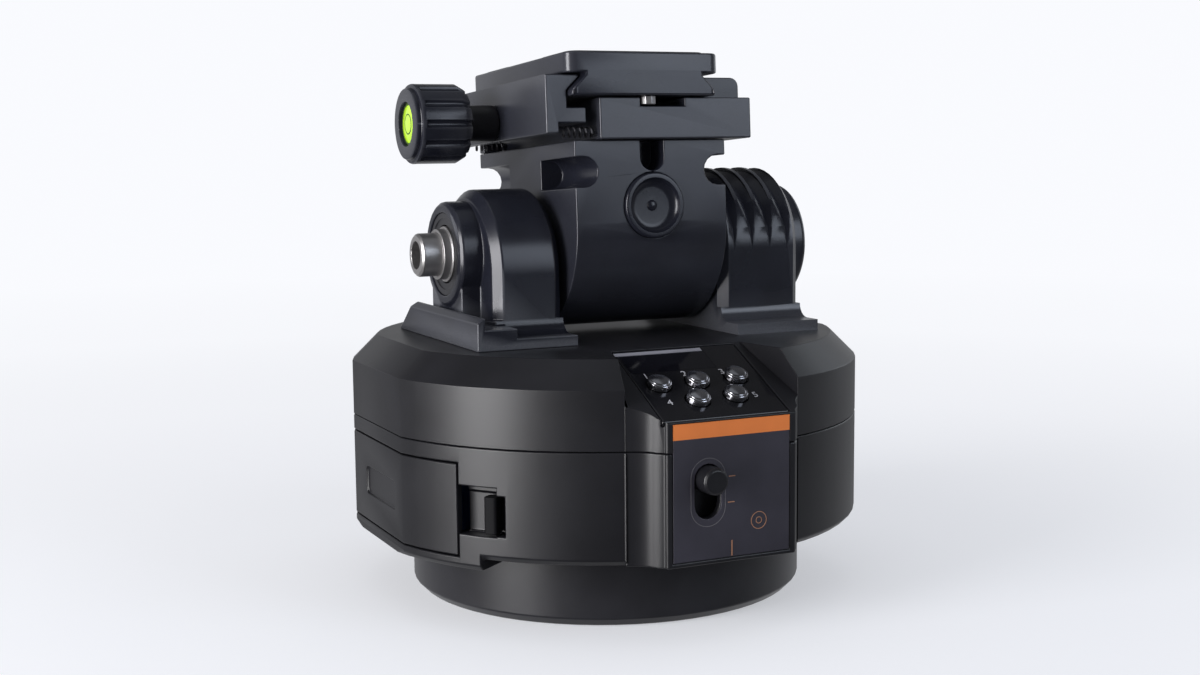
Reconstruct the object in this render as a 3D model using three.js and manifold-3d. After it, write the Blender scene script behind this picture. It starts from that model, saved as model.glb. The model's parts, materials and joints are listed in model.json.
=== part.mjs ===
// A motorised pan and tilt head for a small camera, in millimetres.
// The origin is on the pan axis at the underside of the base, +Z is up and the control box faces -Y.
import * as THREE from "three";
import { mergeVertices } from "three/addons/utils/BufferGeometryUtils.js";
import Module from "manifold-3d";

const wasm = await Module();
wasm.setup();

// Facet counts
const RIM_SIDES = 64;
const ROUND_SIDES = 28;
const SMALL_SIDES = 16;
const TINY_SIDES = 8;
const ARC_STEPS = 6;
const CORNER_STEPS = 2;
const DOME_STEPS = 3;

// Clearances
const SEAT = 0.1; // between pieces that are fastened together
const RUN = 0.3; // between pieces that move past each other
const FIT = 0.05; // round a shaft in a ring that is pressed on it
const OVER = 1; // how far a cut runs past the face it opens
const SEAM = 0.2; // the open joint between the two housing halves

// Base
const BASE_RADIUS = 46.6;
const BASE_HEIGHT = 15.5;
const BASE_CHAMFER = 1.9;
const BASE_LIP_CHAMFER = 0.6;
const BASE_WALL = 2.8;
const BASE_FLOOR = 3.4;
const HUB_RADIUS = 12.5;
const HUB_SHOULDER_RADIUS = 13.9;
const HUB_BORE_RADIUS = 7;
const HUB_WEB = 3;
const BUSH_RADIUS = 8;
const BUSH_DEPTH = 12;
const BUSH_RECESS = 0.3;
const LARGE_THREAD_RADIUS = 4.76; // 3/8 inch socket
const SMALL_THREAD_RADIUS = 3.175; // 1/4 inch socket
const REDUCER_LENGTH = 10.2;
const REDUCER_SLOT = 1.2;

// Pan bearing and pan drive
const PAN_RACE_WIDTH = 7;
const PAN_RACE_RADIUS = 18.5;
const RACE_WALL = 1.5;
const RACE_SHIELD = 0.6;
const PAN_BALLS = 8;
const BALL_SIDES = 6;
const CAGE_HEIGHT = 1.8;
const CAGE_WALL = 1.2;
const PAN_RETAINER_HEIGHT = 1.5;
const PAN_MODULE = 1.2;
const PAN_RING_TEETH = 50;
const PAN_PINION_TEETH = 10;
const PAN_GEAR_WIDTH = 6;
const PAN_GEAR_BORE = 24;
const PAN_PINION_LIFT = 0.5;
const PAN_SHAFT_RADIUS = 2;
const PAN_MOTOR_RADIUS = 13;
const PAN_MOTOR_HEIGHT = 20.5;

// Gear teeth, as shares of the module or of the pitch angle
const ADDENDUM_SHARE = 0.75;
const DEDENDUM_SHARE = 1.15;
const ROOT_HALF_SHARE = 0.26;
const TIP_HALF_SHARE = 0.1;

// Housing
const BASE_TO_HOUSING = 1.6;
const LOWER_HEIGHT = 24.3;
const UPPER_HEIGHT = 12.7;
const DECK_RISE = 5.8; // also how far the sloping edge of the deck comes in
const HOUSING_RADIUS = 60;
const FLAT_INSET = 2.6;
const HOUSING_EDGE = 1.2;
const WALL = 2.4;
const BOSS_WALL = 3.5;
const BOSS_LIP = 0.8;
const BOSS_LIP_REACH = 1.3;
const SKIRT_DROP = 2.5;
const SKIRT_INNER_RADIUS = 47.8;
const SKIRT_HALF_DEG = 38.5;
const MOTOR_HOLE_RADIUS = 3;
const MITRE_SHARE = Math.SQRT2 - 1;

// Battery bay
const DOOR_HALF_DEG = 33.3;
const DOOR_BOTTOM = 0.2; // above the underside of the housing
const DOOR_HEIGHT = 20.4;
const DOOR_THICKNESS = 2;
const DOOR_BARREL_RADIUS = 1.5;
const DOOR_PIN_RADIUS = 0.6;
const DOOR_PIN_REACH = 1.1;
const LABEL_FRONT_Y = -12.5;
const LABEL_LENGTH = 21;
const LABEL_HEIGHT = 6.4;
const LABEL_LIFT = 6.7;
const LABEL_CORNER = 1.2;
const LABEL_DEPTH = 0.5;
const BATTERY_FRONT_X = 54;
const BATTERY_THICKNESS = 18;
const BATTERY_LENGTH = 38;
const BATTERY_HEIGHT = 17.5;
const LATCH_FAR_DEG = 137.8;
const LATCH_SLOT_DEG = 135.9;
const LATCH_DEG = 139.35;
const LATCH_POCKET_LIFT = 5.3;
const LATCH_POCKET_HEIGHT = 10.5;
const LATCH_POCKET_DEPTH = 3.6;
const LATCH_BAR_LIFT = 5.8;
const LATCH_BAR_HEIGHT = 8;
const LATCH_BAR_WIDTH = 3;
const LATCH_BAR_SINK = 0.2;
const LATCH_LINER = 1.6;
const LATCH_CORNER = 0.7;

// Control box on the front of the housing
const BOX_FRONT = 62.05;
const BOX_LEFT_CORNER = 15.4;
const BOX_RIGHT_CORNER = 15.8;
const BOX_LEFT_ROOT = 21.8;
const BOX_RIGHT_ROOT = 19.2;
const BOX_WAIST_OUT = 1.3;
const BOX_WAIST_BACK = 2;
const BOX_CORNER_ROUND = 0.9;
const BOX_CURVE_SHARES = [
  [0.57, 0.28],
  [0.88, 0.58],
];
const SLOPE_FRONT_Z = 47.6;
const SLOPE_REAR_Y = -37.1;
const RECESS_LEFT_REAR = 17.8;
const RECESS_RIGHT_REAR = 16;

// Pieces on the slope: x from the centre plane, s up the slope from its front edge
const DECK_PLATE_THICKNESS = 1.2;
const DECK_PLATE_FRONT_S = 0.7;
const DECK_PLATE_REAR_S = 27.2;
const DECK_PLATE_LEFT = 15.9;
const DECK_PLATE_RIGHT = 14.3;
const WINDOW_LEFT_X = -15;
const WINDOW_WIDTH = 20.5;
const WINDOW_FRONT_S = 18.6;
const WINDOW_DEPTH = 7;
const WINDOW_THICKNESS = 0.7;
const BUTTON_RADIUS = 2.6;
const BUTTON_PROUD = 2;
const BUTTON_DOME = 1.2;
const BUTTON_SKIRT = 0.3;
const BUTTON_STEM_RADIUS = 1.2;
const BUTTON_STEM_LENGTH = 2.7;
const SWITCH_GAP = 0.8;
const SWITCH_SIZE = 4.6;
const SWITCH_HEIGHT = 1.2;
const BUTTON_PLACES = [
  { name: "button_rear_left", x: -10.9, s: 13.5 },
  { name: "button_rear_centre", x: -1.6, s: 13.8 },
  { name: "button_rear_right", x: 8.2, s: 14.4 },
  { name: "button_front_centre", x: -4.6, s: 7.3 },
  { name: "button_front_right", x: 4.7, s: 7.7 },
];
const BOARD_THICKNESS = 1.6;
const CONTROL_BOARD_HALF_WIDTH = 14;
const CONTROL_BOARD_FRONT_S = 3.4;
const CONTROL_BOARD_REAR_S = 18;

// Front panel and mode switch
const PANEL_HALF_WIDTH = 13.9;
const PANEL_BOTTOM_Z = 18.2;
const PANEL_TOP_Z = 47.24;
const PANEL_THICKNESS = 0.5;
const STRIPE_HEIGHT = 3.27;
const SWITCH_X = -5.75;
const SWITCH_TOP_Z = 35.3;
const SWITCH_TRAVEL = 5.4;
const SWITCH_KNOB_RADIUS = 2.9;
const SWITCH_KNOB_PROUD = 3.9;
const SWITCH_KNOB_EDGE = 0.5;
const SWITCH_KNOB_FOOT = 2.2;
const SWITCH_BODY_WIDTH = 9;
const SWITCH_BODY_HEIGHT = 17;
const SWITCH_BODY_DEPTH = 5.5;

// Main board
const MAIN_BOARD_Z = 43;
const MAIN_BOARD_HALF_WIDTH = 31;
const MAIN_BOARD_FRONT_Y = -30;
const MAIN_BOARD_REAR_Y = 40;
const MAIN_POST_INSET = 4;
const MAIN_POST_RADIUS = 2.5;

// Yoke arms
const AXIS_RISE = 19.6;
const ARM_HALF_WIDTH = 18.6;
const ARM_BEVEL = 2;
const FOOT_REACH = 26.5;
const FOOT_RISE = 2.5;
const FOOT_FILLET = 3.2;
const LEFT_ARM_OUTER_X = -35.2;
const LEFT_ARM_INNER_X = -18.7;
const LEFT_ARM_DROP = 4; // the centre of its round top below the tilt axis
const LEFT_FOOT_X = -42.5;
const LEFT_FOOT_HEIGHT = 4.7;
const LEFT_RIM_WIDTH = 1.8;
const LEFT_RIM_HEIGHT = 7.3;
const LEFT_RIM_CHAMFER = 1.2;
const LEFT_RIM_SLOPE = 9.7;
const LEFT_BOSS_RADIUS = 12;
const LEFT_BOSS_LENGTH = 5.4;
const LEFT_BOSS_CHAMFER = 0.8;
const LEFT_STEM_HALF_WIDTH = 9.8;
const TILT_BEARING_RADIUS = 9.5;
const TILT_BEARING_WIDTH = 4.8;
const TILT_RACE_WALL = 1.4;
const LEFT_ARM_BORE = 7;
const TILT_SHAFT_RADIUS = 4.95;
const TILT_SHAFT_BORE = 3.2;
const TILT_SHAFT_BORE_DEPTH = 22;
const TILT_SHAFT_OUTER_X = -47.1;
const TILT_SHAFT_CHAMFER = 0.6;
const TILT_COLLAR_RADIUS = 5.8;
const TILT_COLLAR_LENGTH = 1.6;
const RIGHT_ARM_INNER_X = 22;
const RIGHT_ARM_WIDTH = 21.8;
const RIGHT_ARM_WALL = 3;
const GROOVES = 4;
const GROOVE_PITCH = 4.8;
const GROOVE_RADIUS = 2.2;
const GROOVE_DEPTH = 1.8;
const GROOVE_END_DROP = 1.8; // where a groove runs out, below the tilt axis
const GROOVE_STEPS = 36;
const GROOVE_SIDES = 6;
const COVER_SET_BACK = 1.6;
const COVER_THICKNESS = 2;
const END_CAP_RADIUS = 14.3;
const END_CAP_LENGTH = 6.4;
const END_CAP_ROUND = 1.6;
const END_CAP_DISH = 0.8;
const END_CAP_RIM = 3;

// Tilt drive
const TILT_MODULE = 0.8;
const TILT_GEAR_TEETH = 30;
const TILT_PINION_TEETH = 12;
const TILT_GEAR_WIDTH = 3;
const TILT_GEAR_SET_BACK = 0.6; // between the gear and the arm cover
const DRIVE_SHAFT_RADIUS = 3;
const DRIVE_SHAFT_IN = 5;
const BUSHING_RADIUS = 5;
const BUSHING_FLANGE_RADIUS = 6.2;
const BUSHING_FLANGE = 1.2;
const TILT_MOTOR_RADIUS = 10;
const TILT_MOTOR_LENGTH = 11;
const TILT_PINION_SHAFT_RADIUS = 1.2;
const MOTOR_BORE_DEPTH = 5;

// Tilt carriage: heights here are measured from the tilt axis
const TILT_AT_REST_DEG = 3.3;
const CARRIAGE_LEFT_X = -17.2;
const CARRIAGE_RIGHT_X = 20.9;
const CARRIAGE_HALF_DEPTH = 23.5;
const CARRIAGE_ARC_Z = 5.6;
const CARRIAGE_TOP_Z = 24.3;
const TAIL_HEIGHT = 13.3;
const TAIL_REACH = 11;
const TAIL_ROUND = 2.6;
const CARRIAGE_WALL = 3;
const CAVITY_TOP_Z = 10.5;
const WINDOW_SILL_Z = -8;
const WINDOW_LEDGE = 2.5;
const NOTCH_DEPTH = 5.5;
const NOTCH_LOW_Z = 13.9;
const NOTCH_HIGH_Z = 20.7;
const NOTCH_FRONT_LENGTH = 19.3;
const NOTCH_REAR_LENGTH = 19.3;
const SLOT_RADIUS = 2.95;
const SLOT_DEPTH = 6.5;
const SLOT_WEB = 0.5;
const CAP_X = 2.05;
const CAP_Z = 9.5;
const CAP_RADIUS = 7.4;
const CAP_PROUD = 1;
const CAP_SUNK = 1.8;
const CAP_EDGE = 0.6;
const CAP_RIM = 1.5;
const CAP_DISH_RADIUS = 4.6;
const CAP_DISH_DEPTH = 1.5;
const CAP_DOME_RADIUS = 2.05;
const CAP_DOME_RISE = 0.5;

// Quick release clamp
const CLAMP_CENTRE_Y = 5.5;
const BLOCK_LEFT_X = -12;
const BLOCK_RIGHT_X = 26.4;
const BLOCK_HALF_LENGTH = 31.8;
const BLOCK_HEIGHT = 9.2;
const GROOVE_LEFT_X = -1.9;
const GROOVE_WIDTH = 11.2;
const BLOCK_GROOVE_DEPTH = 1.9;
const FIXED_JAW_SET_BACK = 5.3;
const FIXED_JAW_ROUND = 2;
const LUG_LEFT_X = -17.2;
const LUG_REAR_Y = 34.5;
const LUG_LENGTH = 3;
const LUG_HEIGHT = 2.5;
const CLAMP_SCREW_SPACING = 24;
const CLAMP_SCREW_RADIUS = 1.5;
const CLAMP_SCREW_HEAD_RADIUS = 2.9;
const CLAMP_SCREW_HEAD = 1.8;
const CLAMP_SCREW_LENGTH = 12;
const HEX_RADIUS = 1.4;
const HEX_DEPTH = 1.2;
const HEX_SIDES = 6;

// Quick release plate
const PLATE_X = -1.35;
const PLATE_TOP_HALF_WIDTH = 19;
const PLATE_FLANGE_HALF_WIDTH = 17.85;
const PLATE_NECK_IN = 3.3; // the dovetail slopes at 45 degrees, so this is its height too
const PLATE_FLANGE_HEIGHT = 1.2;
const PLATE_NECK_HEIGHT = 0.5;
const PLATE_TOP_THICKNESS = 4.5;
const PLATE_FRONT_Y = -28;
const PLATE_LENGTH = 57.5;
const PLATE_CORNER = 2.5;
const PAD_WIDTH = 34;
const PAD_LENGTH = 17;
const PAD_THICKNESS = 1.2;
const PAD_SUNK = 0.7;
const PAD_END_MARGIN = 3;
const CAMERA_SCREW_HEAD_RADIUS = 7;
const CAMERA_SCREW_HEAD = 2;
const CAMERA_SCREW_LIFT = 4.5;
const COIN_SLOT_WIDTH = 1.6;
const COIN_SLOT_DEPTH = 1;
const STOP_PIN_X = 0.25;
const STOP_PIN_BACK = 2.2;
const STOP_PIN_RADIUS = 1.75;
const STOP_PIN_SHANK_RADIUS = 0.9;
const STOP_PIN_SHANK = 3;

// Moving jaw, clamp knob and springs
const JAW_OUTER_X = -24.6;
const JAW_FRONT_Y = -25.5;
const JAW_LENGTH = 61;
const JAW_APRON_WIDTH = 3;
const JAW_APRON_Z = 25.8;
const JAW_BAR_Z = 28;
const JAW_TONGUE_Z = 31.4;
const JAW_TONGUE_X = -15;
const ROD_Z = 30;
const ROD_RADIUS = 2.5;
const ROD_IN_BLOCK = 8.5;
const ROD_IN_KNOB = 8.5;
const SLEEVE_RADIUS = 4.3;
const SLEEVE_LENGTH = 7.9;
const KNOB_LENGTH = 13.5;
const KNOB_RADIUS = 9.15;
const KNOB_TAPER = 1.1;
const KNOB_TAPER_LENGTH = 2;
const KNOB_RIM_RADIUS = 8.2;
const KNOB_RIM_LENGTH = 1.2;
const KNOB_EDGE = 0.4;
const KNOB_COLLAR = 0.7;
const KNOB_GROOVES = 12;
const KNOB_GROOVE_RADIUS = 0.8;
const LEVEL_RADIUS = 4.9;
const LEVEL_THICKNESS = 1.5;
const LEVEL_SUNK = 0.6;
const LEVEL_EDGE = 0.4;
const SPRING_RADIUS = 1.15; // to the middle of the wire
const SPRING_WIRE_RADIUS = 0.22;
const SPRING_Z = 26.1;
const SPRING_TURNS = 6;
const SPRING_STEPS = 8;
const SPRING_SIDES = 5;
const SPRING_MARGIN = 1.8; // from the jaw's front and from the lug to the springs

// Places that follow from the sizes
const HOUSING_Z = BASE_HEIGHT + BASE_TO_HOUSING;
const PARTING_Z = HOUSING_Z + LOWER_HEIGHT;
const RIM_Z = PARTING_Z + UPPER_HEIGHT;
const DECK_Z = RIM_Z + DECK_RISE;
const AXIS_Z = DECK_Z + AXIS_RISE;
const FLAT_X = HOUSING_RADIUS - FLAT_INSET;
const BEARING_Z = HOUSING_Z + BOSS_LIP;
const FLOOR_Z = HOUSING_Z + WALL;
const PAN_PITCH_RADIUS = (PAN_MODULE * PAN_RING_TEETH) / 2;
const PAN_PINION_RADIUS = (PAN_MODULE * PAN_PINION_TEETH) / 2;
const PAN_PINION_Y = PAN_PITCH_RADIUS + PAN_PINION_RADIUS;
const PAN_PINION_Z = BASE_FLOOR + PAN_PINION_LIFT;
const TILT_CENTRES = (TILT_MODULE * (TILT_GEAR_TEETH + TILT_PINION_TEETH)) / 2;
const DOOR_Z = HOUSING_Z + DOOR_BOTTOM;
const HINGE_RADIUS = HOUSING_RADIUS - DOOR_BARREL_RADIUS;
const SLOPE_ANGLE = Math.atan2(DECK_Z - SLOPE_FRONT_Z, SLOPE_REAR_Y + BOX_FRONT);
const SWITCH_BOTTOM_Z = SWITCH_TOP_Z - SWITCH_TRAVEL;
const SLOT_HALF_WIDTH = SWITCH_KNOB_RADIUS + RUN;
const COVER_X = RIGHT_ARM_INNER_X + RIGHT_ARM_WIDTH - COVER_SET_BACK - COVER_THICKNESS;
const TILT_GEAR_X = COVER_X - TILT_GEAR_SET_BACK - TILT_GEAR_WIDTH;
const MOTOR_X = RIGHT_ARM_INNER_X + RIGHT_ARM_WALL;
const BLOCK_Z = CARRIAGE_TOP_Z + SEAT;
const BLOCK_TOP_Z = BLOCK_Z + BLOCK_HEIGHT;
const PLATE_Z = BLOCK_TOP_Z + RUN;
const FLANGE_TOP_Z = PLATE_Z + PLATE_FLANGE_HEIGHT;
const NECK_Z = FLANGE_TOP_Z + PLATE_NECK_IN;
const PLATE_UPPER_Z = NECK_Z + PLATE_NECK_HEIGHT;
const PLATE_TOP_Z = PLATE_UPPER_Z + PLATE_TOP_THICKNESS;
const PLATE_CENTRE_Y = PLATE_FRONT_Y + PLATE_LENGTH / 2;
const JAW_TOP_Z = PLATE_UPPER_Z - RUN;
const KNOB_X = JAW_OUTER_X - RUN - SLEEVE_LENGTH - SEAT;

// Finishes
const BLACK_PLASTIC = { color: 0x1d1d20, roughness: 0.5, metalness: 0 };
const GLOSS_PLASTIC = { color: 0x0a0a0c, roughness: 0.08, metalness: 0 };
const BLACK_METAL = { color: 0x1c1d22, roughness: 0.4, metalness: 0.6 };
const BRIGHT_STEEL = { color: 0xb9b7b2, roughness: 0.25, metalness: 1 };
const DARK_STEEL = { color: 0x6e6c69, roughness: 0.35, metalness: 1 };
const CHROME = { color: 0xd8d8dc, roughness: 0.06, metalness: 1 };
const BRASS = { color: 0xb08d4a, roughness: 0.35, metalness: 1 };
const RUBBER = { color: 0x151515, roughness: 0.9, metalness: 0 };
const BOARD_GREEN = { color: 0x14502c, roughness: 0.5, metalness: 0 };
const SLATE_LABEL = { color: 0x2a2a33, roughness: 0.45, metalness: 0 };
const ORANGE_LABEL = { color: 0xe5833e, roughness: 0.45, metalness: 0 };
const LEVEL_GREEN = { color: 0xb6e62e, roughness: 0.15, metalness: 0 };
const CELL_WRAP = { color: 0x2b3f6b, roughness: 0.45, metalness: 0 };
const DARK_GLASS = { color: 0x08080b, roughness: 0.04, metalness: 0 };

// An outline is drawn in (x, y) for axis z, in (y, z) for axis x and in (x, z) for axis y.
const DRAWN_ON = {
  x: new THREE.Matrix4().makeBasis(
    new THREE.Vector3(0, 1, 0),
    new THREE.Vector3(0, 0, 1),
    new THREE.Vector3(1, 0, 0),
  ),
  y: new THREE.Matrix4().makeBasis(
    new THREE.Vector3(1, 0, 0),
    new THREE.Vector3(0, 0, 1),
    new THREE.Vector3(0, -1, 0),
  ),
  z: new THREE.Matrix4(),
};

const radians = THREE.MathUtils.degToRad;

// A closed geometry as a solid that can be joined and cut.
function solid(geometry) {
  const bare = geometry.index ? geometry.toNonIndexed() : geometry.clone();
  bare.deleteAttribute("normal");
  bare.deleteAttribute("uv");
  const merged = mergeVertices(bare);
  const corners = merged.index.array;
  const triangles = [];
  for (let i = 0; i < corners.length; i += 3) {
    const [a, b, c] = corners.slice(i, i + 3);
    if (a !== b && b !== c && c !== a) triangles.push(a, b, c);
  }
  const made = (order) =>
    new wasm.Manifold(
      new wasm.Mesh({
        numProp: 3,
        vertProperties: merged.attributes.position.array,
        triVerts: new Uint32Array(order),
      }),
    );
  const outward = made(triangles);
  return outward.volume() > 0 ? outward : made(triangles.reverse());
}

const join = (first, ...others) => others.reduce((sum, other) => sum.add(other), first);
const cut = (first, ...others) => others.reduce((rest, other) => rest.subtract(other), first);
const common = (first, ...others) => others.reduce((rest, other) => rest.intersect(other), first);

function block([x0, x1], [y0, y1], [z0, z1]) {
  const geometry = new THREE.BoxGeometry(x1 - x0, y1 - y0, z1 - z0);
  return solid(geometry.translate((x0 + x1) / 2, (y0 + y1) / 2, (z0 + z1) / 2));
}

// A straight bar with the given outline, with both ends bevelled alike if a bevel is given.
function prism(shape, axis, [from, to], { bevel = 0, steps = ARC_STEPS } = {}) {
  const geometry = new THREE.ExtrudeGeometry(shape, {
    depth: to - from - 2 * bevel,
    bevelEnabled: bevel > 0,
    bevelThickness: bevel,
    bevelSize: bevel,
    bevelOffset: -bevel,
    bevelSegments: 1,
    curveSegments: steps,
  });
  geometry.translate(0, 0, (axis === "y" ? -to : from) + bevel);
  return solid(geometry.applyMatrix4(DRAWN_ON[axis]));
}

// A solid of revolution: its profile is a list of [radius, place along the axis].
function turned(profile, axis, [a, b] = [0, 0], sides = SMALL_SIDES) {
  const way = axis === "y" ? -1 : 1;
  const distinct = profile.filter(
    ([r, t], i) => i === 0 || r !== profile[i - 1][0] || t !== profile[i - 1][1],
  );
  const points = distinct.map(([r, t]) => new THREE.Vector2(r, way * t));
  const closes = points[0].x === 0 && points.at(-1).x === 0;
  if (!closes) points.push(points[0].clone());
  const geometry = new THREE.LatheGeometry(points, sides);
  geometry.rotateX(Math.PI / 2);
  geometry.translate(a, b, 0);
  return solid(geometry.applyMatrix4(DRAWN_ON[axis]));
}

function rod(radius, axis, [from, to], centre = [0, 0], sides = SMALL_SIDES) {
  return turned([[0, from], [radius, from], [radius, to], [0, to]], axis, centre, sides);
}

function tube(outer, inner, axis, [from, to], centre = [0, 0], sides = SMALL_SIDES) {
  return turned([[inner, from], [outer, from], [outer, to], [inner, to]], axis, centre, sides);
}

// A rod with a chamfer at each end, for pins and shafts that show.
function chamfered(radius, chamfer, axis, [from, to], centre = [0, 0], sides = SMALL_SIDES) {
  const profile = [
    [0, from],
    [radius - chamfer, from],
    [radius, from + chamfer],
    [radius, to - chamfer],
    [radius - chamfer, to],
    [0, to],
  ];
  return turned(profile, axis, centre, sides);
}

function polygon(points) {
  return new THREE.Shape(points.map(([a, b]) => new THREE.Vector2(a, b)));
}

// A rectangle with rounded corners, from its low corner to its high one.
function roundedBox([a0, b0], [a1, b1], radius) {
  const shape = new THREE.Shape();
  const quarter = Math.PI / 2;
  shape.absarc(a1 - radius, b0 + radius, radius, -quarter, 0, false);
  shape.absarc(a1 - radius, b1 - radius, radius, 0, quarter, false);
  shape.absarc(a0 + radius, b1 - radius, radius, quarter, 2 * quarter, false);
  shape.absarc(a0 + radius, b0 + radius, radius, 2 * quarter, 3 * quarter, false);
  return shape;
}

// A stretch of a ring about the Z axis, centred on the -X side, between two angles from that side.
function ringSector(inner, outer, fromDeg, toDeg, heights) {
  const shape = new THREE.Shape();
  const from = Math.PI + radians(fromDeg);
  const to = Math.PI + radians(toDeg);
  shape.absarc(0, 0, outer, from, to, false);
  shape.absarc(0, 0, inner, to, from, true);
  return prism(shape, "z", heights, { steps: ARC_STEPS });
}

// A point at a radius and an angle from the -X side, turning from +Y towards -Y.
function polar(radius, deg) {
  const angle = Math.PI + radians(deg);
  return [radius * Math.cos(angle), radius * Math.sin(angle)];
}

// Straight-sided teeth, thinner than their gaps so that a pair runs freely; one is centred at toothDeg.
function gear(module, teeth, toothDeg, axis, span, centre) {
  const pitchRadius = (module * teeth) / 2;
  const root = pitchRadius - DEDENDUM_SHARE * module;
  const tip = pitchRadius + ADDENDUM_SHARE * module;
  const step = (2 * Math.PI) / teeth;
  const corners = [
    [root, -ROOT_HALF_SHARE],
    [tip, -TIP_HALF_SHARE],
    [tip, TIP_HALF_SHARE],
    [root, ROOT_HALF_SHARE],
  ];
  const points = [];
  for (let tooth = 0; tooth < teeth; tooth += 1) {
    for (const [radius, share] of corners) {
      const angle = radians(toothDeg) + (tooth + share) * step;
      points.push([centre[0] + radius * Math.cos(angle), centre[1] + radius * Math.sin(angle)]);
    }
  }
  return prism(polygon(points), axis, span);
}

function piece(group, name, body, finish) {
  const { vertProperties, triVerts } = body.getMesh();
  const geometry = new THREE.BufferGeometry();
  geometry.setAttribute("position", new THREE.BufferAttribute(new Float32Array(vertProperties), 3));
  geometry.setIndex(new THREE.BufferAttribute(new Uint32Array(triVerts), 1));
  geometry.computeVertexNormals();
  const mesh = new THREE.Mesh(geometry, new THREE.MeshStandardMaterial(finish));
  mesh.name = name;
  group.add(mesh);
}

// The slope's own frame: x across it, y up it, z out of it.
const SLOPE_FRAME = new THREE.Matrix4()
  .makeTranslation(0, -BOX_FRONT, SLOPE_FRONT_Z)
  .multiply(new THREE.Matrix4().makeRotationX(SLOPE_ANGLE));
const onSlope = (body) => body.transform(SLOPE_FRAME.elements);

// Base: the disc that stays still, with the tripod socket, the hub and the fixed ring gear.
function addBase(group) {
  const inner = BASE_RADIUS - BASE_WALL;
  const hubTop = BEARING_Z + PAN_RACE_WIDTH + PAN_RETAINER_HEIGHT + BASE_LIP_CHAMFER;
  const tray = turned(
    [
      [0, 0],
      [BASE_RADIUS - BASE_CHAMFER, 0],
      [BASE_RADIUS, BASE_CHAMFER],
      [BASE_RADIUS, BASE_HEIGHT - BASE_LIP_CHAMFER],
      [BASE_RADIUS - BASE_LIP_CHAMFER, BASE_HEIGHT],
      [inner, BASE_HEIGHT],
      [inner, BASE_FLOOR],
      [0, BASE_FLOOR],
    ],
    "z",
    [0, 0],
    RIM_SIDES,
  );
  const hub = turned(
    [
      [0, BASE_FLOOR / 2],
      [HUB_SHOULDER_RADIUS, BASE_FLOOR / 2],
      [HUB_SHOULDER_RADIUS, BEARING_Z],
      [HUB_RADIUS, BEARING_Z],
      [HUB_RADIUS, hubTop],
      [HUB_BORE_RADIUS, hubTop],
      [HUB_BORE_RADIUS, BUSH_DEPTH + HUB_WEB],
      [0, BUSH_DEPTH + HUB_WEB],
    ],
    "z",
    [0, 0],
    ROUND_SIDES,
  );
  const pocket = rod(BUSH_RADIUS, "z", [-OVER, BUSH_DEPTH], [0, 0], ROUND_SIDES);
  piece(group, "base_disc", cut(join(tray, hub), pocket), BLACK_PLASTIC);

  const bush = tube(
    BUSH_RADIUS - FIT,
    LARGE_THREAD_RADIUS,
    "z",
    [BUSH_RECESS, BUSH_DEPTH],
    [0, 0],
    ROUND_SIDES,
  );
  piece(group, "tripod_bush", bush, BRASS);

  const reducerSpan = [BUSH_RECESS, BUSH_RECESS + REDUCER_LENGTH];
  const reducer = tube(
    LARGE_THREAD_RADIUS - FIT,
    SMALL_THREAD_RADIUS,
    "z",
    reducerSpan,
    [0, 0],
    ROUND_SIDES,
  );
  const slot = block(
    [-LARGE_THREAD_RADIUS, LARGE_THREAD_RADIUS],
    [-REDUCER_SLOT / 2, REDUCER_SLOT / 2],
    [0, BUSH_RECESS + REDUCER_SLOT],
  );
  piece(group, "thread_reducer", cut(reducer, slot), DARK_STEEL);

  const teeth = gear(
    PAN_MODULE,
    PAN_RING_TEETH,
    90 + 180 / PAN_RING_TEETH,
    "z",
    [BASE_FLOOR, BASE_FLOOR + PAN_GEAR_WIDTH],
    [0, 0],
  );
  const bore = rod(PAN_GEAR_BORE, "z", [0, BASE_HEIGHT], [0, 0], ROUND_SIDES);
  piece(group, "pan_ring_gear", cut(teeth, bore), DARK_STEEL);

  const raceTop = BEARING_Z + PAN_RACE_WIDTH;
  const race = tube(
    HUB_RADIUS + RACE_WALL,
    HUB_RADIUS + FIT,
    "z",
    [BEARING_Z, raceTop],
    [0, 0],
    ROUND_SIDES,
  );
  piece(group, "pan_bearing_inner_race", race, BRIGHT_STEEL);
  const retainer = tube(
    HUB_SHOULDER_RADIUS,
    HUB_RADIUS + FIT,
    "z",
    [raceTop, raceTop + PAN_RETAINER_HEIGHT],
    [0, 0],
    ROUND_SIDES,
  );
  piece(group, "pan_retainer_ring", retainer, DARK_STEEL);
}

// Housing walls: the drum with two flats and a sloping deck edge, drawn in by an inset for its inside.
function drum(inset) {
  const radius = HOUSING_RADIUS - inset;
  const edge = inset === 0 ? HOUSING_EDGE : 0;
  const low = HOUSING_Z + inset;
  const high = DECK_Z - inset;
  const rim = RIM_Z - inset * MITRE_SHARE;
  const deckIn = DECK_RISE + inset * MITRE_SHARE;
  const round = turned(
    [
      [0, low],
      [radius - edge, low],
      [radius, low + edge],
      [radius, rim],
      [HOUSING_RADIUS - deckIn, high],
      [0, high],
    ],
    "z",
    [0, 0],
    RIM_SIDES,
  );
  const x = FLAT_X - inset;
  const flats = polygon([
    [-x, low],
    [x, low],
    [x, rim],
    [FLAT_X - deckIn, high],
    [deckIn - FLAT_X, high],
    [-x, rim],
  ]);
  return common(round, prism(flats, "y", [-HOUSING_RADIUS, HOUSING_RADIUS]));
}

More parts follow.
